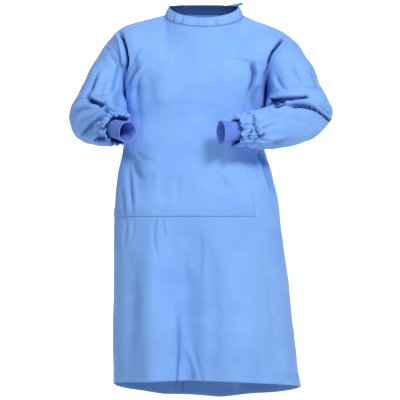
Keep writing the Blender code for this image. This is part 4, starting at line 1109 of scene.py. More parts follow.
@dataclass
class Collar:
    """The stand collar: a doubled band on the neckline, gathered slightly at the front."""

    panels: Panels
    cloth: bpy.types.Material
    height: float = 0.029
    lean: float = 0.013
    thickness: float = 0.0022
    bulge: float = 0.0022
    rows: int = 18
    pleat_half_width: float = 0.0030
    pleat_depth: float = 0.0046
    # How dark the shade painted into the puckers is
    painted_pleat_shade: float = 0.55
    # Where the band is puckered, in degrees from the front middle towards the gown's left, and how deeply
    pleats: tuple[tuple[float, float], ...] = (
        (-63.0, 1.0),
        (-45.0, 0.9),
        (-37.0, 0.4),
        (-14.0, 0.55),
        (2.0, 0.45),
        (25.0, 0.8),
        (58.0, 0.3),
        (88.0, 0.7),
        (-96.0, 0.6),
        (128.0, 0.7),
        (-141.0, 0.8),
    )

    def base(self) -> Array:
        """The neckline all the way round, from the back middle over the left, the front and the right."""
        across = self.panels.form.columns()
        neck = np.abs(across) <= self.panels.form.neck_share + 1e-6
        front = self.panels.shapes[Half.FRONT][-1][neck]
        back = self.panels.shapes[Half.BACK][-1][neck]
        return np.concatenate([back, front[::-1][1:-1]])

    def middle(self) -> Array:
        """The middle of the neck opening."""
        form = self.panels.form
        return np.array([form.neck_centre_x, sum(form.neck_y.values()) / 2, 0.0])

    def puckers(self) -> Array:
        """How far into a pucker each column of the band lies, from 0 to 1."""
        from_middle = self.base() - self.middle()
        angles = np.degrees(np.arctan2(from_middle[:, 0], -from_middle[:, 1]))
        radius = np.linalg.norm(from_middle[:, :2], axis=1)
        gaps = ((np.radians(angles - a + 180) % (2 * np.pi) - np.pi) * radius for a, _ in self.pleats)
        return sum(
            deep * np.exp(-((gap / self.pleat_half_width) ** 2)) for gap, (_, deep) in zip(gaps, self.pleats)
        )

    def band(self) -> tuple[Array, Array]:
        """The band's outer rows all the way round, and their outward directions."""
        base = self.base()
        inward = unit((self.middle() - base) * np.array([1.0, 1.0, 0.0]))
        pleat = self.puckers()
        rows = []
        for share in np.linspace(0.0, 1.0, self.rows + 1):
            lean = self.lean * share - self.bulge * math.sin(math.pi * share) ** 0.8
            dent = self.pleat_depth * pleat * math.sin(math.pi * min(1.0, share * 0.75 + 0.25))
            row = base + inward * (lean + dent)[:, None] + np.array([0.0, 0.0, self.height * share])
            rows.append(row)
        rows = np.array(rows)
        return rows, -normals_of(rows, True)

    def build(self) -> bpy.types.Object:
        """Makes the band, whose right end laps over its left one at the back."""
        form = self.panels.form
        across = form.columns()
        neck = across[np.abs(across) <= form.neck_share + 1e-6]
        rows, outward = self.band()
        under = np.flatnonzero(neck >= -form.lap_share - 1e-6)[0]
        over = np.flatnonzero(neck <= form.lap_share + 1e-6)[-1]
        order = list(range(under, rows.shape[1])) + list(range(over + 1))
        shift = np.concatenate([np.zeros(rows.shape[1] - under), form.lap_shift(neck[: over + 1])])
        outer = rows[:, order] + outward[:, order] * shift[None, :, None]
        share = np.linspace(0.0, 1.0, self.rows + 1)[:, None]
        # Painted shade in the puckers, fading up the band, and a dark painted shade over the band's inside
        shade = self.painted_pleat_shade * self.puckers()[order][None, :] * (1.0 - 0.8 * share)
        under = outer - outward[:, order] * self.thickness
        shell = Shell("collar", outer, under, shade=shade, painted_inside_shade=0.85)
        piece = dressed(shell.make(self.cloth), "cloth", "collar")
        LOG.info("collar: %.4f m2 on one side", shell.area())
        return piece


SLEEVE_STATIONS = {
    Side.LEFT: (
        ((0.2030, -0.012, -0.246), (0.3420, 0.000, -0.150), 0.076),
        ((0.2005, -0.034, -0.255), (0.3610, 0.006, -0.203), 0.078),
        ((0.2000, -0.054, -0.262), (0.3800, 0.010, -0.250), 0.078),
        ((0.2005, -0.071, -0.268), (0.3960, 0.002, -0.291), 0.077),
        ((0.2030, -0.086, -0.274), (0.4020, -0.020, -0.323), 0.076),
        ((0.2100, -0.099, -0.280), (0.3780, -0.045, -0.355), 0.073),
        ((0.2100, -0.111, -0.284), (0.3400, -0.076, -0.382), 0.070),
        ((0.2020, -0.127, -0.288), (0.2980, -0.105, -0.401), 0.064),
        ((0.1830, -0.149, -0.294), (0.2420, -0.138, -0.413), 0.060),
        ((0.1580, -0.170, -0.303), (0.1860, -0.170, -0.418), 0.056),
        ((0.1340, -0.186, -0.315), (0.1400, -0.190, -0.411), 0.048),
        ((0.1200, -0.1940, -0.330), (0.1200, -0.198, -0.401), 0.036),
        ((0.1170, -0.1960, -0.3385), (0.1170, -0.199, -0.3955), 0.0290),
    ),
    Side.RIGHT: (
        ((-0.2460, -0.012, -0.246), (-0.3480, 0.002, -0.148), 0.074),
        ((-0.2440, -0.034, -0.254), (-0.3660, 0.008, -0.200), 0.076),
        ((-0.2440, -0.056, -0.260), (-0.3840, 0.016, -0.253), 0.076),
        ((-0.2460, -0.073, -0.266), (-0.3990, 0.022, -0.300), 0.076),
        ((-0.2500, -0.088, -0.272), (-0.4060, 0.020, -0.341), 0.075),
        ((-0.2550, -0.100, -0.277), (-0.3960, 0.002, -0.373), 0.073),
        ((-0.2610, -0.111, -0.281), (-0.3750, -0.026, -0.392), 0.070),
        ((-0.2600, -0.121, -0.286), (-0.3500, -0.060, -0.402), 0.066),
        ((-0.2570, -0.131, -0.292), (-0.3270, -0.090, -0.406), 0.062),
        ((-0.2550, -0.140, -0.299), (-0.3060, -0.116, -0.406), 0.057),
        ((-0.2599, -0.1485, -0.3030), (-0.2905, -0.1433, -0.3985), 0.049),
        ((-0.2603, -0.1604, -0.3171), (-0.2827, -0.1556, -0.3939), 0.038),
        ((-0.2600, -0.1695, -0.3320), (-0.2760, -0.1655, -0.3870), 0.029),
    ),
}
CUFF_END = {
    Side.LEFT: ((0.0510, -0.2240, -0.3370), (0.0550, -0.2270, -0.4080), 0.0320),
    Side.RIGHT: ((-0.2200, -0.2240, -0.3390), (-0.2320, -0.2200, -0.4040), 0.0320),
}
SLEEVE_FOLDS = {
    Side.LEFT: (
        Crease(((0.214, -0.262), (0.270, -0.262), (0.342, -0.250)), 0.010, -0.012, 0.0, 0.1, 0.3),
        Crease(((0.262, -0.272), (0.320, -0.270), (0.400, -0.292)), 0.012, 0.007, 0.0, 0.3, 0.3),
        Crease(((0.252, -0.282), (0.330, -0.288), (0.412, -0.316)), 0.010, -0.012, 0.0, 0.2, 0.1),
        Crease(((0.170, -0.340), (0.260, -0.320), (0.380, -0.330)), 0.020, -0.006, 0.0, 0.3, 0.4),
    ),
    Side.RIGHT: (
        Crease(((-0.362, -0.262), (-0.330, -0.272), (-0.290, -0.280)), 0.010, -0.012, 0.0, 0.2, 0.2),
        Crease(((-0.415, -0.296), (-0.365, -0.285), (-0.290, -0.290)), 0.012, 0.007, 0.0, 0.2, 0.3),
        Crease(((-0.375, -0.385), (-0.345, -0.345), (-0.300, -0.310)), 0.014, -0.008, 0.0, 0.3, 0.3),
        Crease(((-0.350, -0.180), (-0.345, -0.215), (-0.350, -0.255)), 0.022, -0.007, 0.0, 0.5, 0.3),
    ),
}
SLEEVE_CREASES = {
    Side.LEFT: (
        # The two deep creases where the upper arm lies on the forearm, and the pit at their start
        Crease(((0.206, -0.268), (0.250, -0.262), (0.296, -0.260), (0.338, -0.254)), 0.0042, -0.0150, 0.35, 0.02, 0.2),
        Crease(((0.240, -0.284), (0.300, -0.282), (0.350, -0.298), (0.396, -0.330)), 0.0040, -0.0150, 0.45, 0.1, 0.02),
        Crease(((0.214, -0.286), (0.232, -0.280), (0.254, -0.274)), 0.0075, -0.0160, 0.0, 0.1, 0.3),
        # The forearm's long soft folds
        Crease(((0.150, -0.378), (0.190, -0.356), (0.246, -0.334)), 0.0050, -0.0060, 0.35, 0.3, 0.3),
        Crease(((0.230, -0.318), (0.290, -0.330), (0.350, -0.352)), 0.0070, -0.0050, 0.3, 0.4, 0.4),
        Crease(((0.180, -0.395), (0.240, -0.385), (0.300, -0.372)), 0.0070, 0.0045, 0.0, 0.3, 0.5),
        Crease(((0.196, -0.330), (0.230, -0.312), (0.280, -0.304)), 0.0060, -0.0045, -0.3, 0.3, 0.5),
        Crease(((0.200, -0.404), (0.230, -0.400), (0.260, -0.392)), 0.0060, -0.0060, 0.0, 0.3, 0.4),
        # The upper arm
        Crease(((0.262, -0.135), (0.290, -0.185), (0.322, -0.235)), 0.0080, -0.0065, 0.35, 0.4, 0.3),
        Crease(((0.226, -0.180), (0.236, -0.215), (0.262, -0.240)), 0.0065, -0.0070, -0.35, 0.3, 0.3),
        Crease(((0.330, -0.150), (0.350, -0.200), (0.362, -0.250)), 0.0080, -0.0060, 0.3, 0.4, 0.3),
        Crease(((0.300, -0.236), (0.330, -0.232), (0.364, -0.240)), 0.0055, -0.0040, 0.3, 0.3, 0.3),
        # The ridge where the gathered end meets the smooth forearm
        Crease(((0.154, -0.311), (0.160, -0.345), (0.170, -0.370), (0.182, -0.390)), 0.0045, 0.0060, 0.0, 0.2, 0.2),
        Crease(((0.146, -0.313), (0.151, -0.346), (0.160, -0.372), (0.172, -0.394)), 0.0036, -0.0090, 0.0, 0.2, 0.2),
        # Puckers at the armhole seam
        Crease(((0.262, -0.098), (0.276, -0.112)), 0.0035, -0.0040, 0.3, 0.1, 0.5),
        Crease(((0.246, -0.104), (0.258, -0.122)), 0.0035, -0.0040, 0.3, 0.1, 0.5),
        Crease(((0.232, -0.116), (0.242, -0.138)), 0.0035, -0.0035, 0.3, 0.1, 0.5),
    ),
    Side.RIGHT: (
        # The elbow's crease, its roll and the pit between them
        Crease(((-0.358, -0.260), (-0.336, -0.272), (-0.310, -0.280), (-0.290, -0.284)), 0.0042, -0.0150, 0.45, 0.1, 0.1),
        Crease(((-0.352, -0.262), (-0.338, -0.266)), 0.0060, -0.0080, 0.0, 0.3, 0.3),
        Crease(((-0.322, -0.283), (-0.312, -0.288), (-0.302, -0.292)), 0.0038, -0.0110, 0.4, 0.3, 0.3),
        Crease(((-0.306, -0.300), (-0.276, -0.312), (-0.240, -0.320)), 0.0042, -0.0100, 0.5, 0.2, 0.2),
        Crease(((-0.312, -0.290), (-0.272, -0.302), (-0.232, -0.310), (-0.214, -0.318)), 0.0050, 0.0070, 0.0, 0.2, 0.2),
        # The forearm's drag lines
        Crease(((-0.386, -0.382), (-0.350, -0.352), (-0.300, -0.314)), 0.0050, -0.0080, 0.40, 0.2, 0.2),
        Crease(((-0.398, -0.346), (-0.360, -0.326), (-0.316, -0.306)), 0.0050, -0.0055, 0.35, 0.3, 0.3),
        Crease(((-0.342, -0.398), (-0.322, -0.390), (-0.296, -0.384)), 0.0060, -0.0130, 0.3, 0.2, 0.2),
        Crease(((-0.410, -0.306), (-0.370, -0.296), (-0.330, -0.296)), 0.0050, -0.0060, 0.35, 0.2, 0.4),
        # The upper arm
        Crease(((-0.318, -0.160), (-0.342, -0.210), (-0.366, -0.268)), 0.0070, -0.0100, 0.35, 0.4, 0.1),
        Crease(((-0.262, -0.150), (-0.270, -0.210), (-0.284, -0.262)), 0.0070, -0.0070, -0.35, 0.3, 0.3),
        Crease(((-0.300, -0.190), (-0.310, -0.225), (-0.320, -0.262)), 0.0070, -0.0050, 0.3, 0.3, 0.3),
        # Puckers at the armhole seam
        Crease(((-0.304, -0.096), (-0.290, -0.118)), 0.0035, -0.0042, 0.3, 0.1, 0.5),
        Crease(((-0.290, -0.100), (-0.278, -0.124)), 0.0035, -0.0042, 0.3, 0.1, 0.5),
        Crease(((-0.276, -0.110), (-0.266, -0.136)), 0.0035, -0.0040, 0.3, 0.1, 0.5),
        Crease(((-0.298, -0.112), (-0.268, -0.160), (-0.262, -0.190)), 0.0060, -0.0050, 0.3, 0.2, 0.5),
    ),
}
SLEEVE_BACK_CREASES = {
    Side.LEFT: (
        Crease(((0.300, -0.215), (0.345, -0.225), (0.385, -0.255)), 0.0110, -0.0050, 0.3, 0.3, 0.3),
        Crease(((0.285, -0.270), (0.340, -0.300), (0.392, -0.325)), 0.0110, -0.0050, -0.3, 0.3, 0.3),
        Crease(((0.290, -0.110), (0.285, -0.160), (0.300, -0.205)), 0.0120, -0.0045, 0.3, 0.3, 0.4),
    ),
    Side.RIGHT: (
        Crease(((-0.310, -0.215), (-0.350, -0.225), (-0.392, -0.260)), 0.0110, -0.0050, -0.3, 0.3, 0.3),
        Crease(((-0.300, -0.275), (-0.350, -0.305), (-0.398, -0.330)), 0.0110, -0.0050, 0.3, 0.3, 0.3),
        Crease(((-0.300, -0.110), (-0.298, -0.160), (-0.312, -0.205)), 0.0120, -0.0045, -0.3, 0.3, 0.4),
    ),
}


@dataclass
class Sleeve:
    """One bent sleeve, doubled from the elbow down, and gathered into its cuff under a soft roll."""

    side: Side
    form: BodyForm
    cloth: bpy.types.Material
    first_doubled: int
    thickness: float = 0.0011
    double_thickness: float = 0.0016
    rows_per_station: float = 14.0
    gather_depth: float = 0.0030
    crinkle_depth: float = 0.0046
    overhang: float = 0.021
    flare: float = 0.0120
    scallop: float = 0.0026
    ripple: float = 0.0026
    place_step: float = 0.03
    seam_step: float = 0.0008
    flat: tuple[float, float] = (0.50, 0.24)
    doubled_flat: tuple[float, float] = (0.47, 0.40)

    @property
    def stations(self) -> tuple:
        """This side's sections, each an inner point, an outer point and half its width across them."""
        return SLEEVE_STATIONS[self.side]

    @property
    def turns(self) -> Array:
        """The columns' angles round the sleeve."""
        return np.arange(2 * self.form.upper_steps) * np.pi / self.form.upper_steps

    def ring(self, station: tuple, axis: Array, turns: Array) -> Array:
        """One section: turn 0 is its inner point, a quarter turn its front, half a turn its outer point."""
        inner, outer = np.array(station[0]), np.array(station[1])
        to_inner = (inner - outer) / 2
        to_front = -self.side.turn * unit(np.cross(to_inner, axis)) * station[2]
        return (inner + outer) / 2 + np.cos(turns)[:, None] * to_inner + np.sin(turns)[:, None] * to_front

    def sections(self, turns: Array) -> Array:
        """The armhole, every section down the sleeve and the cuff's end, read at the same turns."""
        half_turns = turns / np.pi
        front = self.form.armhole(self.side, Half.FRONT, half_turns)
        back = self.form.armhole(self.side, Half.BACK, 2.0 - half_turns)
        rings = [np.where((half_turns <= 1.0)[:, None], front, back)]
        stations = self.stations + (CUFF_END[self.side],)
        middles = [(np.array(s[0]) + np.array(s[1])) / 2 for s in stations]
        axes = unit(np.gradient(middles, axis=0))
        rings += [self.ring(station, axis, turns) for station, axis in zip(stations, axes)]
        return np.array(rings)

    def plain(self, places: Array) -> Array:
        """The smooth sleeve at places along it, counted in sections."""
        rings = self.sections(self.turns)[:-1]
        return smooth(np.arange(len(rings)), rings, places)

    def tube_normals(self, shape: Callable[[Array], Array], places: Array) -> Array:
        """Outward normals of a surface whose rings shape gives at any places."""
        rings = shape(places)
        across = np.roll(rings, -1, axis=1) - np.roll(rings, 1, axis=1)
        along = shape(places + self.place_step) - shape(places - self.place_step)
        return self.side.turn * unit(np.cross(across, along))

    def wave(self, counts: tuple[int, ...], seed: int) -> Array:
        """An uneven wave round the sleeve, from a few counts of bumps."""
        shifts = np.random.default_rng(seed).uniform(0, 2 * np.pi, len(counts))
        total = sum(np.cos(n * self.turns + s) for n, s in zip(counts, shifts))
        return total / math.sqrt(len(counts))

    def gathered(self, grid: Array, places: Array) -> Array:
        """Adds the gathers, the crinkles among them and the roll that hangs over the cuff."""
        end = len(self.stations)
        seed = 5 if self.side is Side.LEFT else 9
        outward = unit(grid - grid.mean(axis=1, keepdims=True))
        final, cuff = ((np.array(s[0]) + np.array(s[1])) / 2 for s in (self.stations[-1], CUFF_END[self.side]))
        near = ease((places - (end - 3.4)) / 1.6) * ease((end - places) / 0.45)
        depth = self.gather_depth * near[:, None] * self.wave((13, 18, 24, 31), seed)
        depth = depth + self.crinkle_depth * self.crinkles(places)
        roll = ease((places - (end - 1.9)) / 1.35) * ease((end - places) / 0.42)
        uneven = 1.0 + 0.22 * self.wave((3, 7, 11), seed + 2)
        depth = depth + (self.flare * uneven + self.scallop * self.wave((9, 14), seed + 5)) * roll[:, None]
        push = self.overhang * roll[:, None] * uneven
        return grid + outward * depth[..., None] + unit(cuff - final) * push[..., None]

    def crinkles(self, places: Array) -> Array:
        """The small random hills of the gathered end, from about -1 to 1."""
        end = len(self.stations)
        seed = 8 if self.side is Side.LEFT else 12
        crinkled = ease((places - (end - 3.3)) / 1.0) * ease((end - places) / 0.5)
        turning = np.cos(self.turns)[None, :] * 0.045 + places[:, None] * 0.011
        side = np.sin(self.turns)[None, :] * 0.045 + places[:, None] * 0.034
        rough = hills(turning, side, 0.012, seed) + 0.7 * hills(turning, side, 0.0068, seed + 1)
        return crinkled[:, None] * rough

    def painted_gather_shade(self, places: Array) -> Array:
        """Painted shade for the gathered end: its pits, and the cloth under the roll, where little light reaches."""
        under = ease((places - (len(self.stations) - 0.40)) / 0.16)[:, None]
        return np.maximum(np.clip(-self.crinkles(places) * 1.5 - 0.6, 0.0, 0.75), under)

    def fine_depth(self, grid: Array, outward: Array) -> Array:
        """How far the finer creases in front and behind move the plain sleeve."""
        front = crease_depth(grid, outward, SLEEVE_CREASES[self.side], -1.0, reach=0.42)
        return front + crease_depth(grid, outward, SLEEVE_BACK_CREASES[self.side], 1.0)

    def shaped(self, places: Array) -> Array:
        """The sleeve's outer surface with folds, creases, ripples and gathers."""
        places = np.clip(places, 0.0, len(self.stations))
        grid = self.plain(places)
        outward = self.tube_normals(self.plain, places)
        away = ease((places - 0.2) / 1.2)[:, None, None]
        at_once = ease(places / 0.25)[:, None, None]
        large = creased(grid, outward, SLEEVE_FOLDS[self.side], -1.0)
        moved = grid + (large - grid) * away + outward * self.fine_depth(grid, outward)[..., None] * at_once
        arc = self.turns[None, :] * 0.073 + np.zeros((len(places), 1))
        length = places[:, None] * 0.045 + np.zeros((1, len(self.turns)))
        period = ease(np.minimum(self.turns, 2 * np.pi - self.turns) / 0.8)[None, :]
        seed = 31 if self.side is Side.LEFT else 37
        rough = hills(arc, length, 0.034, seed) + 0.5 * hills(arc, length, 0.016, seed + 1)
        moved = moved + outward * (self.ripple * rough * period)[..., None] * at_once
        return self.gathered(moved, places)

    def piece(self, name: str, first: float, last: float, thickness: float) -> Shell:
        """The wall of one sleeve piece between two places."""
        steps = int(round((last - first) * self.rows_per_station))
        places = np.linspace(first, last, steps + 1)
        outer = self.shaped(places)
        outward = self.tube_normals(self.shaped, places)
        plain = self.plain(places)
        # Painted shade: sharp creases, the listed shadows and the gathered end are painted dark
        shade = painted_crease_shade(self.fine_depth(plain, self.tube_normals(self.plain, places)))
        painted_shadows = painted_pocket_shade(outer, SLEEVE_PAINTED_SHADOWS[self.side]) * ease((0.45 - outward[..., 1]) / 0.3)
        shade = np.maximum(np.maximum(shade, painted_shadows), self.painted_gather_shade(places))
        return Shell(name, outer, outer - outward * thickness, closed=True, shade=shade)

    def build(self) -> tuple[bpy.types.Object, bpy.types.Object]:
        """Makes the upper sleeve and the doubled forearm."""
        name = f"sleeve_{self.side.value}"
        shell = self.piece(name, 0.0, self.first_doubled, self.thickness)
        upper = dressed(shell.make(self.cloth), "cloth", name)
        LOG.info("%s: %.4f m2 on one side", name, shell.area())
        min(shell.area(), self.flat[0] * self.flat[1])
        name = f"sleeve_reinforcement_{self.side.value}"
        shell = self.piece(name, self.first_doubled, len(self.stations), self.double_thickness)
        lower = dressed(shell.make(self.cloth), "cloth", name)
        LOG.info("%s: %.4f m2 on one side", name, shell.area())
        area = min(shell.area() * 0.95, self.doubled_flat[0] * self.doubled_flat[1])
        return upper, lower


def stitch_tree(name: str) -> tuple[bpy.types.NodeTree, dict[str, str]]:
    """A Geometry Nodes tree that sets a row of stitches along lines of edges.

    Args:
        name: the tree's name.

    Returns:
        The tree, and the identifiers of its inputs by name.
    """
    tree = bpy.data.node_groups.new(name, "GeometryNodeTree")
    tree.interface.new_socket(name="Lines", in_out="INPUT", socket_type="NodeSocketGeometry")
    tree.interface.new_socket(name="Stitches", in_out="OUTPUT", socket_type="NodeSocketGeometry")
    inputs = {
        label: tree.interface.new_socket(name=label, in_out="INPUT", socket_type=kind).identifier
        for label, kind in (
            ("Pitch", "NodeSocketFloat"),
            ("Stitch", "NodeSocketFloat"),
            ("Radius", "NodeSocketFloat"),
            ("Material", "NodeSocketMaterial"),
        )
    }
    into = add_node(tree, "NodeGroupInput")
    line = add_node(tree, "GeometryNodeMeshToCurve", None, {0: into.outputs["Lines"]})
    places = add_node(
        tree,
        "GeometryNodeResampleCurve",
        {"mode": "LENGTH"},
        {"Curve": line.outputs[0], "Length": into.outputs["Pitch"]},
    )
    stitch = add_node(
        tree,
        "GeometryNodeMeshCylinder",
        None,
        {"Vertices": 5, "Radius": into.outputs["Radius"], "Depth": into.outputs["Stitch"]},
    )
    tangent = add_node(tree, "GeometryNodeInputTangent")
    turned = add_node(
        tree, "FunctionNodeAlignRotationToVector", {"axis": "Z"}, {"Vector": tangent.outputs[0]}
    )
    row = add_node(
        tree,
        "GeometryNodeInstanceOnPoints",
        None,
        {"Points": places.outputs[0], "Instance": stitch.outputs["Mesh"], "Rotation": turned.outputs[0]},
    )
    real = add_node(tree, "GeometryNodeRealizeInstances", None, {0: row.outputs[0]})
    dressed_up = add_node(
        tree, "GeometryNodeSetMaterial", None, {"Geometry": real.outputs[0], "Material": into.outputs["Material"]}
    )
    add_node(tree, "NodeGroupOutput", None, {0: dressed_up.outputs[0]})
    return tree, inputs


def grown(name: str, lines: Sequence[Array], tree: bpy.types.NodeTree, settings: dict) -> bpy.types.Object:
    """Runs a Geometry Nodes tree on open lines and keeps the result as a plain mesh.

    Args:
        name: the piece's name.
        lines: each line's points in order.
        tree: the tree.
        settings: its inputs' values by identifier.

    Returns:
        The piece.
    """
    edges, count = [], 0
    for line in lines:
        edges += [(count + k, count + k + 1) for k in range(len(line) - 1)]
        count += len(line)
    mesh = bpy.data.meshes.new(name + "_lines")
    mesh.from_pydata(np.concatenate(lines).tolist(), edges, [])
    carrier = into_collection(name + "_lines", mesh)
    modifier = carrier.modifiers.new("grow", "NODES")
    modifier.node_group = tree
    for identifier, value in settings.items():
        modifier[identifier] = value
    bpy.context.view_layer.update()
    seen = carrier.evaluated_get(bpy.context.evaluated_depsgraph_get())
    made = bpy.data.meshes.new_from_object(seen)
    made.name = name
    made.shade_smooth()
    carrier.modifiers.remove(modifier)
    bpy.data.objects.remove(carrier)
    return into_collection(name, made)


@dataclass
class Stitching:
    """Rows of lockstitch: 3 mm stitches in thread 0.4 mm thick, on the cloth's outside."""

    thread: bpy.types.Material
    pitch: float = 0.0036
    stitch: float = 0.0026
    radius: float = 0.00028

    def __post_init__(self) -> None:
        """Builds the tree that every row shares."""
        self.tree, self.inputs = stitch_tree("Row of stitches")

    def sew(self, name: str, lines: Sequence[Array]) -> bpy.types.Object:
        """Makes one piece from all the rows of one area.

        Args:
            name: the piece's name.
            lines: the rows' points, already on the outside of the cloth.

        Returns:
            The stitches.
        """
        settings = {
            self.inputs["Pitch"]: self.pitch,
            self.inputs["Stitch"]: self.stitch,
            self.inputs["Radius"]: self.radius,
            self.inputs["Material"]: self.thread,
        }
        return dressed(grown(name, lines, self.tree, settings), "cloth")


@dataclass
class Cuff:
    """A tube of rib knit from the sleeve's gathers to the wrist, its ribs running down it."""

    sleeve: Sleeve
    knit: bpy.types.Material
    ribs: int = 46
    points_per_rib: int = 6
    rib_height: float = 0.0015
    thickness: float = 0.0016
    steps: int = 26
    waist: float = 0.0016
    slack: float = 0.0007

    def build(self) -> bpy.types.Object:
        """Makes the tube, its ribs raised on the outside over a plain inside."""
        name = f"cuff_{self.sleeve.side.value}"
        count = self.ribs * self.points_per_rib
        turns = np.arange(count) * 2 * np.pi / count
        shares = np.linspace(-0.06, 1.0, self.steps + 1)
        start, end = self.sleeve.sections(turns)[-2:]
        s = shares[:, None, None]
        plain = start * (1 - s) + end * s
        outward = unit(plain - plain.mean(axis=1, keepdims=True))
        rib = np.abs(np.cos(turns * self.ribs / 2)) ** 0.8 * self.rib_height
        drawn = -self.waist * np.sin(np.pi * shares) + self.slack * ease((shares - 0.9) / 0.1)
        swing = self.slack * np.sin(turns[None, :] * 5 + shares[:, None] * 9)
        outer = plain + outward * (drawn[:, None] + swing + rib[None, :] - self.rib_height)[..., None]
        inner = plain + outward * (drawn[:, None] + swing - self.rib_height - self.thickness)[..., None]
        shell = Shell(name, outer, inner, closed=True)
        piece = dressed(shell.make(self.knit), "knit", name)
        LOG.info("%s: %.4f m2 on one side", name, shell.area())
        return piece


def join(piece: bpy.types.Object, *others: bpy.types.Object) -> bpy.types.Object:
    """Joins other objects into a piece."""
    with bpy.context.temp_override(
        active_object=piece, object=piece, selected_editable_objects=[piece, *others]
    ):
        bpy.ops.object.join()
    return piece


@dataclass
class Ties:
    """The waist ties round the back with their hanging ends, the neck ties, and a knot in each pair."""

    panels: Panels
    collar: Collar
    cloth: bpy.types.Material
    thickness: float = 0.0013
    gap: float = 0.0008
    waist_width: float = 0.022
    neck_width: float = 0.012
    waist_level: float = 0.78
    waist_start: float = 0.97
    end_length: float = 0.26
    parting: float = 0.0015
    neck_level: float = 1.975
    neck_drop: float = 0.50

    def tape(self, name: str, grid: Array, normals: Array, edges: list, lift: Array) -> Shell:
        """A flat tape over a grid.

        Args:
            name: the tape's name.
            grid: the surface that it lies on.
            normals: that surface's normals.
            edges: for each place along it, (row, column) at one edge and at the other.
            lift: its distance from the surface at each place.

        Returns:
            The tape's wall, five points wide and slightly crowned.
        """
        share = np.linspace(0.0, 1.0, 7)
        first, last = np.array([e[0] for e in edges]), np.array([e[1] for e in edges])
        places = first[:, None] * (1 - share)[None, :, None] + last[:, None] * share[None, :, None]
        flat = places.reshape(-1, 2)
        points = between(grid, flat[:, 0], flat[:, 1]).reshape(len(edges), len(share), 3)
        outward = unit(between(normals, flat[:, 0], flat[:, 1])).reshape(points.shape)
        crown = 0.0004 * np.sin(np.pi * share)
        under = points + outward * (np.asarray(lift)[:, None] + crown)[..., None]
        return Shell(name, under + outward * self.thickness, under)

    def build(self) -> list[bpy.types.Object]:
        """Makes every tape and both knots."""
        form = self.panels.form
        across, levels = form.columns(), form.levels()
        grid, normals = self.panels.back_outer(), self.panels.normals[Half.BACK]
        places = np.arange(len(levels))
        tall = form.armpit_z - form.hem_z
        middle = (len(across) - 1) / 2
        row = np.interp(self.waist_level, levels, places)
        half = np.interp(self.waist_level + self.waist_width / 2 / tall, levels, places) - row
        column = np.linalg.norm(grid[int(row), int(middle) + 1] - grid[int(row), int(middle)])
        foot = np.interp(self.waist_level - self.end_length / tall, levels, places)
        made = []
        for side, sign in ((Side.LEFT, 1.0), (Side.RIGHT, -1.0)):
            seam = np.interp(sign * self.waist_start, across, np.arange(len(across)))
            near = middle + sign * self.parting / column
            steps = np.linspace(seam, near, 90)
            sag = 0.8 * np.sin(np.linspace(0, np.pi, 90)) * sign
            edges = [((row + half - s * sign, c), (row - half - s * sign, c)) for c, s in zip(steps, sag)]
            shell = self.tape(f"waist_tie_{side.value}", grid, normals, edges, np.full(90, self.gap))
            made.append(self.finish(shell))
            far = near + sign * self.waist_width / column
            rows = np.linspace(foot, row - half * 1.08, 60)
            sway = 2.2 * np.sin(np.linspace(0, 2.6, 60)) * (1 if side is Side.LEFT else -0.6)
            swing = sway * np.linspace(1, 0, 60)
            edges = [((r, near + w), (r, far + w)) for r, w in zip(rows, swing)]
            lift = self.gap + 0.0025 * ease(np.linspace(1.0, 0.0, 60) * 4)
            shell = self.tape(f"waist_tie_end_{side.value}", grid, normals, edges, lift)
            made.append(self.finish(shell))
        place = between(grid, np.array([row]), np.array([middle]))[0]
        outward = unit(between(normals, np.array([row]), np.array([middle])))[0]
        made.append(self.knot("waist_knot", place + outward * 0.0026, outward, 0.030, 0.010, 0.026))
        made += self.neck(grid, normals, levels, middle)
        return made

    def neck(self, grid: Array, normals: Array, levels: Array, middle: float) -> list[bpy.types.Object]:
        """Makes the neck ties and their knot, low on the middle of the collar's back."""
        rows, facing = self.collar.band()
        lap = self.panels.form.lap_rise
        places = np.arange(len(levels))
        here = (np.array([0.55 * self.collar.rows]), np.array([self.panels.form.neck_steps / 2]))
        seat = between(rows, *here)[0]
        outward = unit(between(facing, *here))[0]
        seat = seat + outward * lap
        column = np.linalg.norm(grid[-2, int(middle) + 1] - grid[-2, int(middle)])
        top = np.interp(self.neck_level, levels, places)
        foot = np.interp(self.neck_level - self.neck_drop, levels, places)
        near, far = middle - self.parting / column, middle - (self.parting + self.neck_width) / column
        steps = np.linspace(foot, top, 50)
        edges = [((r, near), (r, far)) for r in steps]
        lift = self.gap + 0.0025 * ease(np.linspace(1.0, 0.0, 50) * 5)
        shell = self.tape("neck_tie_right", grid, normals, edges, lift)
        made = [self.finish(shell)]
        start = seat + outward * self.gap
        knots = [start + np.array([x, 0.0, 0.0]) for x in (self.parting, 0.0132)]
        free = [(0.034, 0.0935, 0.033), (0.065, 0.096, 0.043), (0.100, 0.093, 0.050), (0.128, 0.084, 0.055)]
        path = smooth(range(6), np.array(knots + [np.array(p) for p in free]), np.linspace(0, 5, 60))
        sideways = unit(np.gradient(path, axis=0))
        out = unit(np.cross(np.array([0.0, 0.0, 1.0]), sideways))
        turn = ease(np.linspace(0, 1, 60) * 4)[:, None]
        out = unit(outward * (1 - turn) + out * turn)
        rise = unit(np.cross(sideways, out))
        twist = 0.95 * ease((np.linspace(0, 1, 60) - 0.40) / 0.45)[:, None]
        out, rise = out * np.cos(twist) + rise * np.sin(twist), rise * np.cos(twist) - out * np.sin(twist)
        share = np.linspace(-0.5, 0.5, 5)
        under = path[:, None] + rise[:, None] * share[None, :, None] * self.neck_width
        shell = Shell("neck_tie_left", under + out[:, None] * self.thickness, under)
        made.append(self.finish(shell))
        place = seat + outward * 0.0026
        made.append(self.knot("neck_knot", place, outward, 0.020, 0.008, 0.022))
        return made

    def finish(self, shell: Shell) -> bpy.types.Object:
        """Makes a tape and logs its area on one side."""
        piece = dressed(shell.make(self.cloth), "cloth", shell.name)
        LOG.info("%s: %.5f m2 on one side", shell.name, shell.area())
        return piece

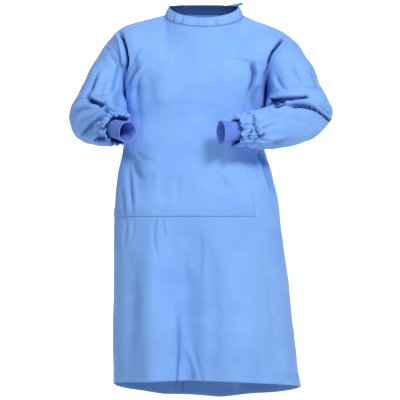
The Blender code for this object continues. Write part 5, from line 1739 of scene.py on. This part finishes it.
    def knot(self, name: str, place: Array, out: Array, width: float, depth: float, height: float):
        """A flat knot: a tape wound round two crossing ones.

        Args:
            name: the knot's name.
            place: the middle of its back.
            out: the way that it faces.
            width: its size from side to side.
            depth: its size from back to front.
            height: its size up and down.

        Returns:
            The piece.
        """
        side = unit(np.cross(np.array([0.0, 0.0, 1.0]), out))
        up = unit(np.cross(out, side))
        turns = np.linspace(0, 2 * np.pi, 49)[:-1]
        parts = []
        for k, (tilt, wide, deep, tall, band) in enumerate(
            ((0.0, 0.62, 1.0, 0.92, 0.46), (0.75, 0.9, 0.72, 0.62, 0.34), (-0.75, 0.9, 0.78, 0.62, 0.34))
        ):
            across = np.linspace(-0.5, 0.5, 9)
            loop_up = up * math.cos(tilt) + side * math.sin(tilt)
            loop_side = unit(np.cross(out, loop_up))
            ring = np.array([loop_up * (tall / 2 * math.sin(t)) * height for t in turns])
            ring += np.array([out * (0.5 + 0.5 * deep * math.cos(t)) * depth for t in turns])
            puff = 1.0 + 0.10 * np.cos(2 * np.pi * across)
            outer = place + ring[:, None] * puff[None, :, None]
            outer = outer + loop_side * (across * band * width)[None, :, None] * wide * 1.6
            centre = place + out * depth / 2
            inner = outer - unit(outer - centre) * self.thickness
            swap = lambda g: np.swapaxes(g, 0, 1)
            parts.append(Shell(f"{name}_{k}", swap(outer), swap(inner), closed=True).make(self.cloth))
        parts[0].name = name
        parts[0].data.name = name
        join(parts[0], *parts[1:])
        piece = dressed(parts[0], "cloth", name)
        return piece


@dataclass
class SewnRows:
    """Where the gown is stitched, read off the finished cloth."""

    panels: Panels
    collar: Collar
    sleeves: tuple[Sleeve, Sleeve]
    stitching: Stitching
    lift: float = 0.0002

    def row(self, grid: Array, normals: Array, level: float, first: float, last: float, lift: float) -> Array:
        """A line along one level of a body panel between two places across."""
        form = self.panels.form
        across, levels = form.columns(), form.levels()
        columns = np.interp(np.linspace(first, last, 300), across, np.arange(len(across)))
        rows = np.full(300, np.interp(level, levels, np.arange(len(levels))))
        return between(grid, rows, columns) + unit(between(normals, rows, columns)) * (lift + self.lift)

    def line(self, grid: Array, normals: Array, place: float, low: float, high: float, lift: float) -> Array:
        """A line up one place across of a body panel between two levels."""
        form = self.panels.form
        across, levels = form.columns(), form.levels()
        rows = np.interp(np.linspace(low, high, 300), levels, np.arange(len(levels)))
        columns = np.full(300, np.interp(place, across, np.arange(len(across))))
        return between(grid, rows, columns) + unit(between(normals, rows, columns)) * (lift + self.lift)

    def build(self) -> list[bpy.types.Object]:
        """Sews every row and returns the pieces of stitching."""
        panels, form = self.panels, self.panels.form
        front, facing = panels.shapes[Half.FRONT], panels.normals[Half.FRONT]
        back, outward = panels.back_outer(), panels.normals[Half.BACK]
        tall = form.armpit_z - form.hem_z
        over = panels.overlay_gap + panels.thickness
        foot, top = form.reinforcement_foot, form.reinforcement_top
        right, left = panels.overlay_right + 0.006, panels.overlay_left - 0.006
        rows = [self.row(front, facing, foot + d / tall, right, left, over) for d in (0.0095, 0.0195)]
        rows += [self.row(front, facing, top - d / tall, right, left, over) for d in (0.0015, 0.0110)]
        rows += [self.row(front, facing, d / tall, -0.995, 0.995, 0.0) for d in (0.021, 0.036)]
        rows += [self.line(front, facing, s * 0.990, 0.0, 0.995, 0.0) for s in (-1, 1)]
        made = [self.stitching.sew("stitching_front", rows)]
        lap = form.lap_share
        rows = [self.row(back, outward, d / tall, -0.995, 0.995, 0.0) for d in (0.021, 0.036)]
        rows += [self.line(back, outward, lap - d, 0.0, 1.99, 0.0) for d in (0.004, 0.045)]
        rows += [self.line(back, outward, s * 0.990, 0.0, 0.995, 0.0) for s in (-1, 1)]
        made.append(self.stitching.sew("stitching_back", rows))
        band, out = self.collar.band()
        ring = [*range(band.shape[1]), 0]
        rows = [(band[1] + out[1] * (self.lift + 0.0003))[ring], (band[-2] + out[-2] * (self.lift + 0.0003))[ring]]
        across = form.columns()
        for sign in (-1, 1):
            for half, grid, normals in ((Half.FRONT, front, facing), (Half.BACK, back, outward)):
                here = (across * sign > form.neck_share) & (np.abs(across) < 0.995)
                rows.append(grid[-2, here] + normals[-2, here] * self.lift)
        made.append(self.stitching.sew("stitching_neck_and_shoulders", rows))
        for sleeve in self.sleeves:
            rows = [self.ring(sleeve, place) for place in (0.14, sleeve.first_doubled + 0.10, sleeve.first_doubled + 0.24)]
            made.append(self.stitching.sew(f"stitching_sleeve_{sleeve.side.value}", rows))
        return made

    def ring(self, sleeve: Sleeve, place: float) -> Array:
        """A closed line round a sleeve."""
        places = np.array([place])
        ring = sleeve.shaped(places)[0] + sleeve.tube_normals(sleeve.shaped, places)[0] * self.lift
        return np.concatenate([ring, ring[:1]])


@dataclass
class Studio:
    """A pale seamless floor and backdrop, soft lights and the camera."""

    paper: bpy.types.Material
    floor_z: float = -1.52
    back_y: float = 7.0
    bend: float = 3.6
    half_width: float = 9.0
    pixel: float = 0.00315
    distance: float = 4.5
    frame_pixels: int = 400
    neck_pixel: tuple[float, float] = (203.0, 17.5)
    lights: tuple = (
        # name, place, aim, width, height, watts, colour
        ("key", (1.6, -2.9, 1.5), (0.0, 0.0, -0.50), 0.7, 0.7, 95.0, "fffcf6"),
        ("fill", (-1.6, -2.7, 1.5), (0.0, 0.0, -0.4), 1.2, 1.2, 28.0, "f4f8ff"),
        ("top", (-0.6, -0.8, 2.3), (0.0, 0.0, -0.2), 1.0, 1.0, 9.0, "ffffff"),
        ("backdrop", (0.0, 3.6, 3.6), (0.0, 6.6, -0.6), 6.0, 2.4, 420.0, "ffffff"),
    )

    def build(self) -> None:
        """Makes the studio and sets the scene's camera."""
        self.cyclorama()
        for light in self.lights:
            self.light(*light)
        world = bpy.data.worlds.new("pale studio")
        bpy.context.scene.world = world
        world.use_nodes = True
        world.node_tree.nodes["Background"].inputs["Color"].default_value = linear("eef3fb")
        world.node_tree.nodes["Background"].inputs["Strength"].default_value = 0.20
        self.camera()

    def cyclorama(self) -> None:
        """The floor, its bend and the wall behind, as one sheet of paper."""
        angles = np.linspace(0, np.pi / 2, 17)
        profile = [(-8.0, self.floor_z)]
        profile += [
            (self.back_y - self.bend + self.bend * math.sin(a), self.floor_z + self.bend * (1 - math.cos(a)))
            for a in angles
        ]
        profile.append((self.back_y, 6.0))
        sides = np.linspace(-self.half_width, self.half_width, 9)
        points = [(x, y, z) for y, z in profile for x in sides]
        wide = len(sides)
        faces = [
            (i * wide + j, i * wide + j + 1, (i + 1) * wide + j + 1, (i + 1) * wide + j)
            for i in range(len(profile) - 1)
            for j in range(wide - 1)
        ]
        mesh = bpy.data.meshes.new("studio_paper")
        mesh.from_pydata(points, [], faces)
        mesh.materials.append(self.paper)
        mesh.shade_smooth()
        into_collection("studio_paper", mesh)

    def light(self, name, place, aim, width, height, watts, colour) -> None:
        """One soft rectangular light."""
        lamp = bpy.data.lights.new(name, "AREA")
        lamp.shape = "RECTANGLE"
        lamp.size, lamp.size_y = width, height
        lamp.energy = watts
        lamp.color = linear(colour)[:3]
        made = bpy.data.objects.new(name, lamp)
        bpy.context.scene.collection.objects.link(made)
        made.location = place
        made.rotation_euler = (Vector(aim) - Vector(place)).to_track_quat("-Z", "Y").to_euler()

    def camera(self) -> None:
        """A level camera in front of the gown, at the photograph's scale."""
        data = bpy.data.cameras.new("camera")
        made = bpy.data.objects.new("camera", data)
        bpy.context.scene.collection.objects.link(made)
        middle = self.frame_pixels / 2
        x = (middle - self.neck_pixel[0]) * self.pixel
        z = (self.neck_pixel[1] - middle) * self.pixel
        made.location = (x, -self.distance, z)
        made.rotation_euler = (math.pi / 2, 0.0, 0.0)
        data.sensor_width = 36.0
        data.lens = data.sensor_width * self.distance / (self.frame_pixels * self.pixel)
        data.clip_end = 30.0
        bpy.context.scene.camera = made


def main() -> None:
    """Builds the gown, its stitching and the studio."""
    logging.basicConfig(level=logging.INFO, format="%(message)s")
    cloth = Poplin("ciel blue polycotton poplin", "88b9fd", "7cadf4").make()
    knit = RibKnit("periwinkle polyester rib knit", "7699f2", "5777d6").make()
    thread = Thread("blue spun polyester thread", "7aa6ec", "5f8cd6").make()
    paper = StudioPaper("white background paper", "fdfdfd", "f4f5f7").make()
    Studio(paper).build()
    form = BodyForm()
    panels = Panels(form, cloth)
    panels.prepare()
    panels.build()
    collar = Collar(panels, cloth)
    collar.build()
    sleeves = (
        Sleeve(Side.LEFT, form, cloth, 3),
        Sleeve(Side.RIGHT, form, cloth, 4, flat=(0.50, 0.30), doubled_flat=(0.47, 0.36)),
    )
    for sleeve in sleeves:
        sleeve.build()
        Cuff(sleeve, knit).build()
    Ties(panels, collar, cloth).build()
    SewnRows(panels, collar, sleeves, Stitching(thread)).build()
    bpy.context.scene.view_settings.view_transform = "Standard"


if __name__ == "__main__":
    main()
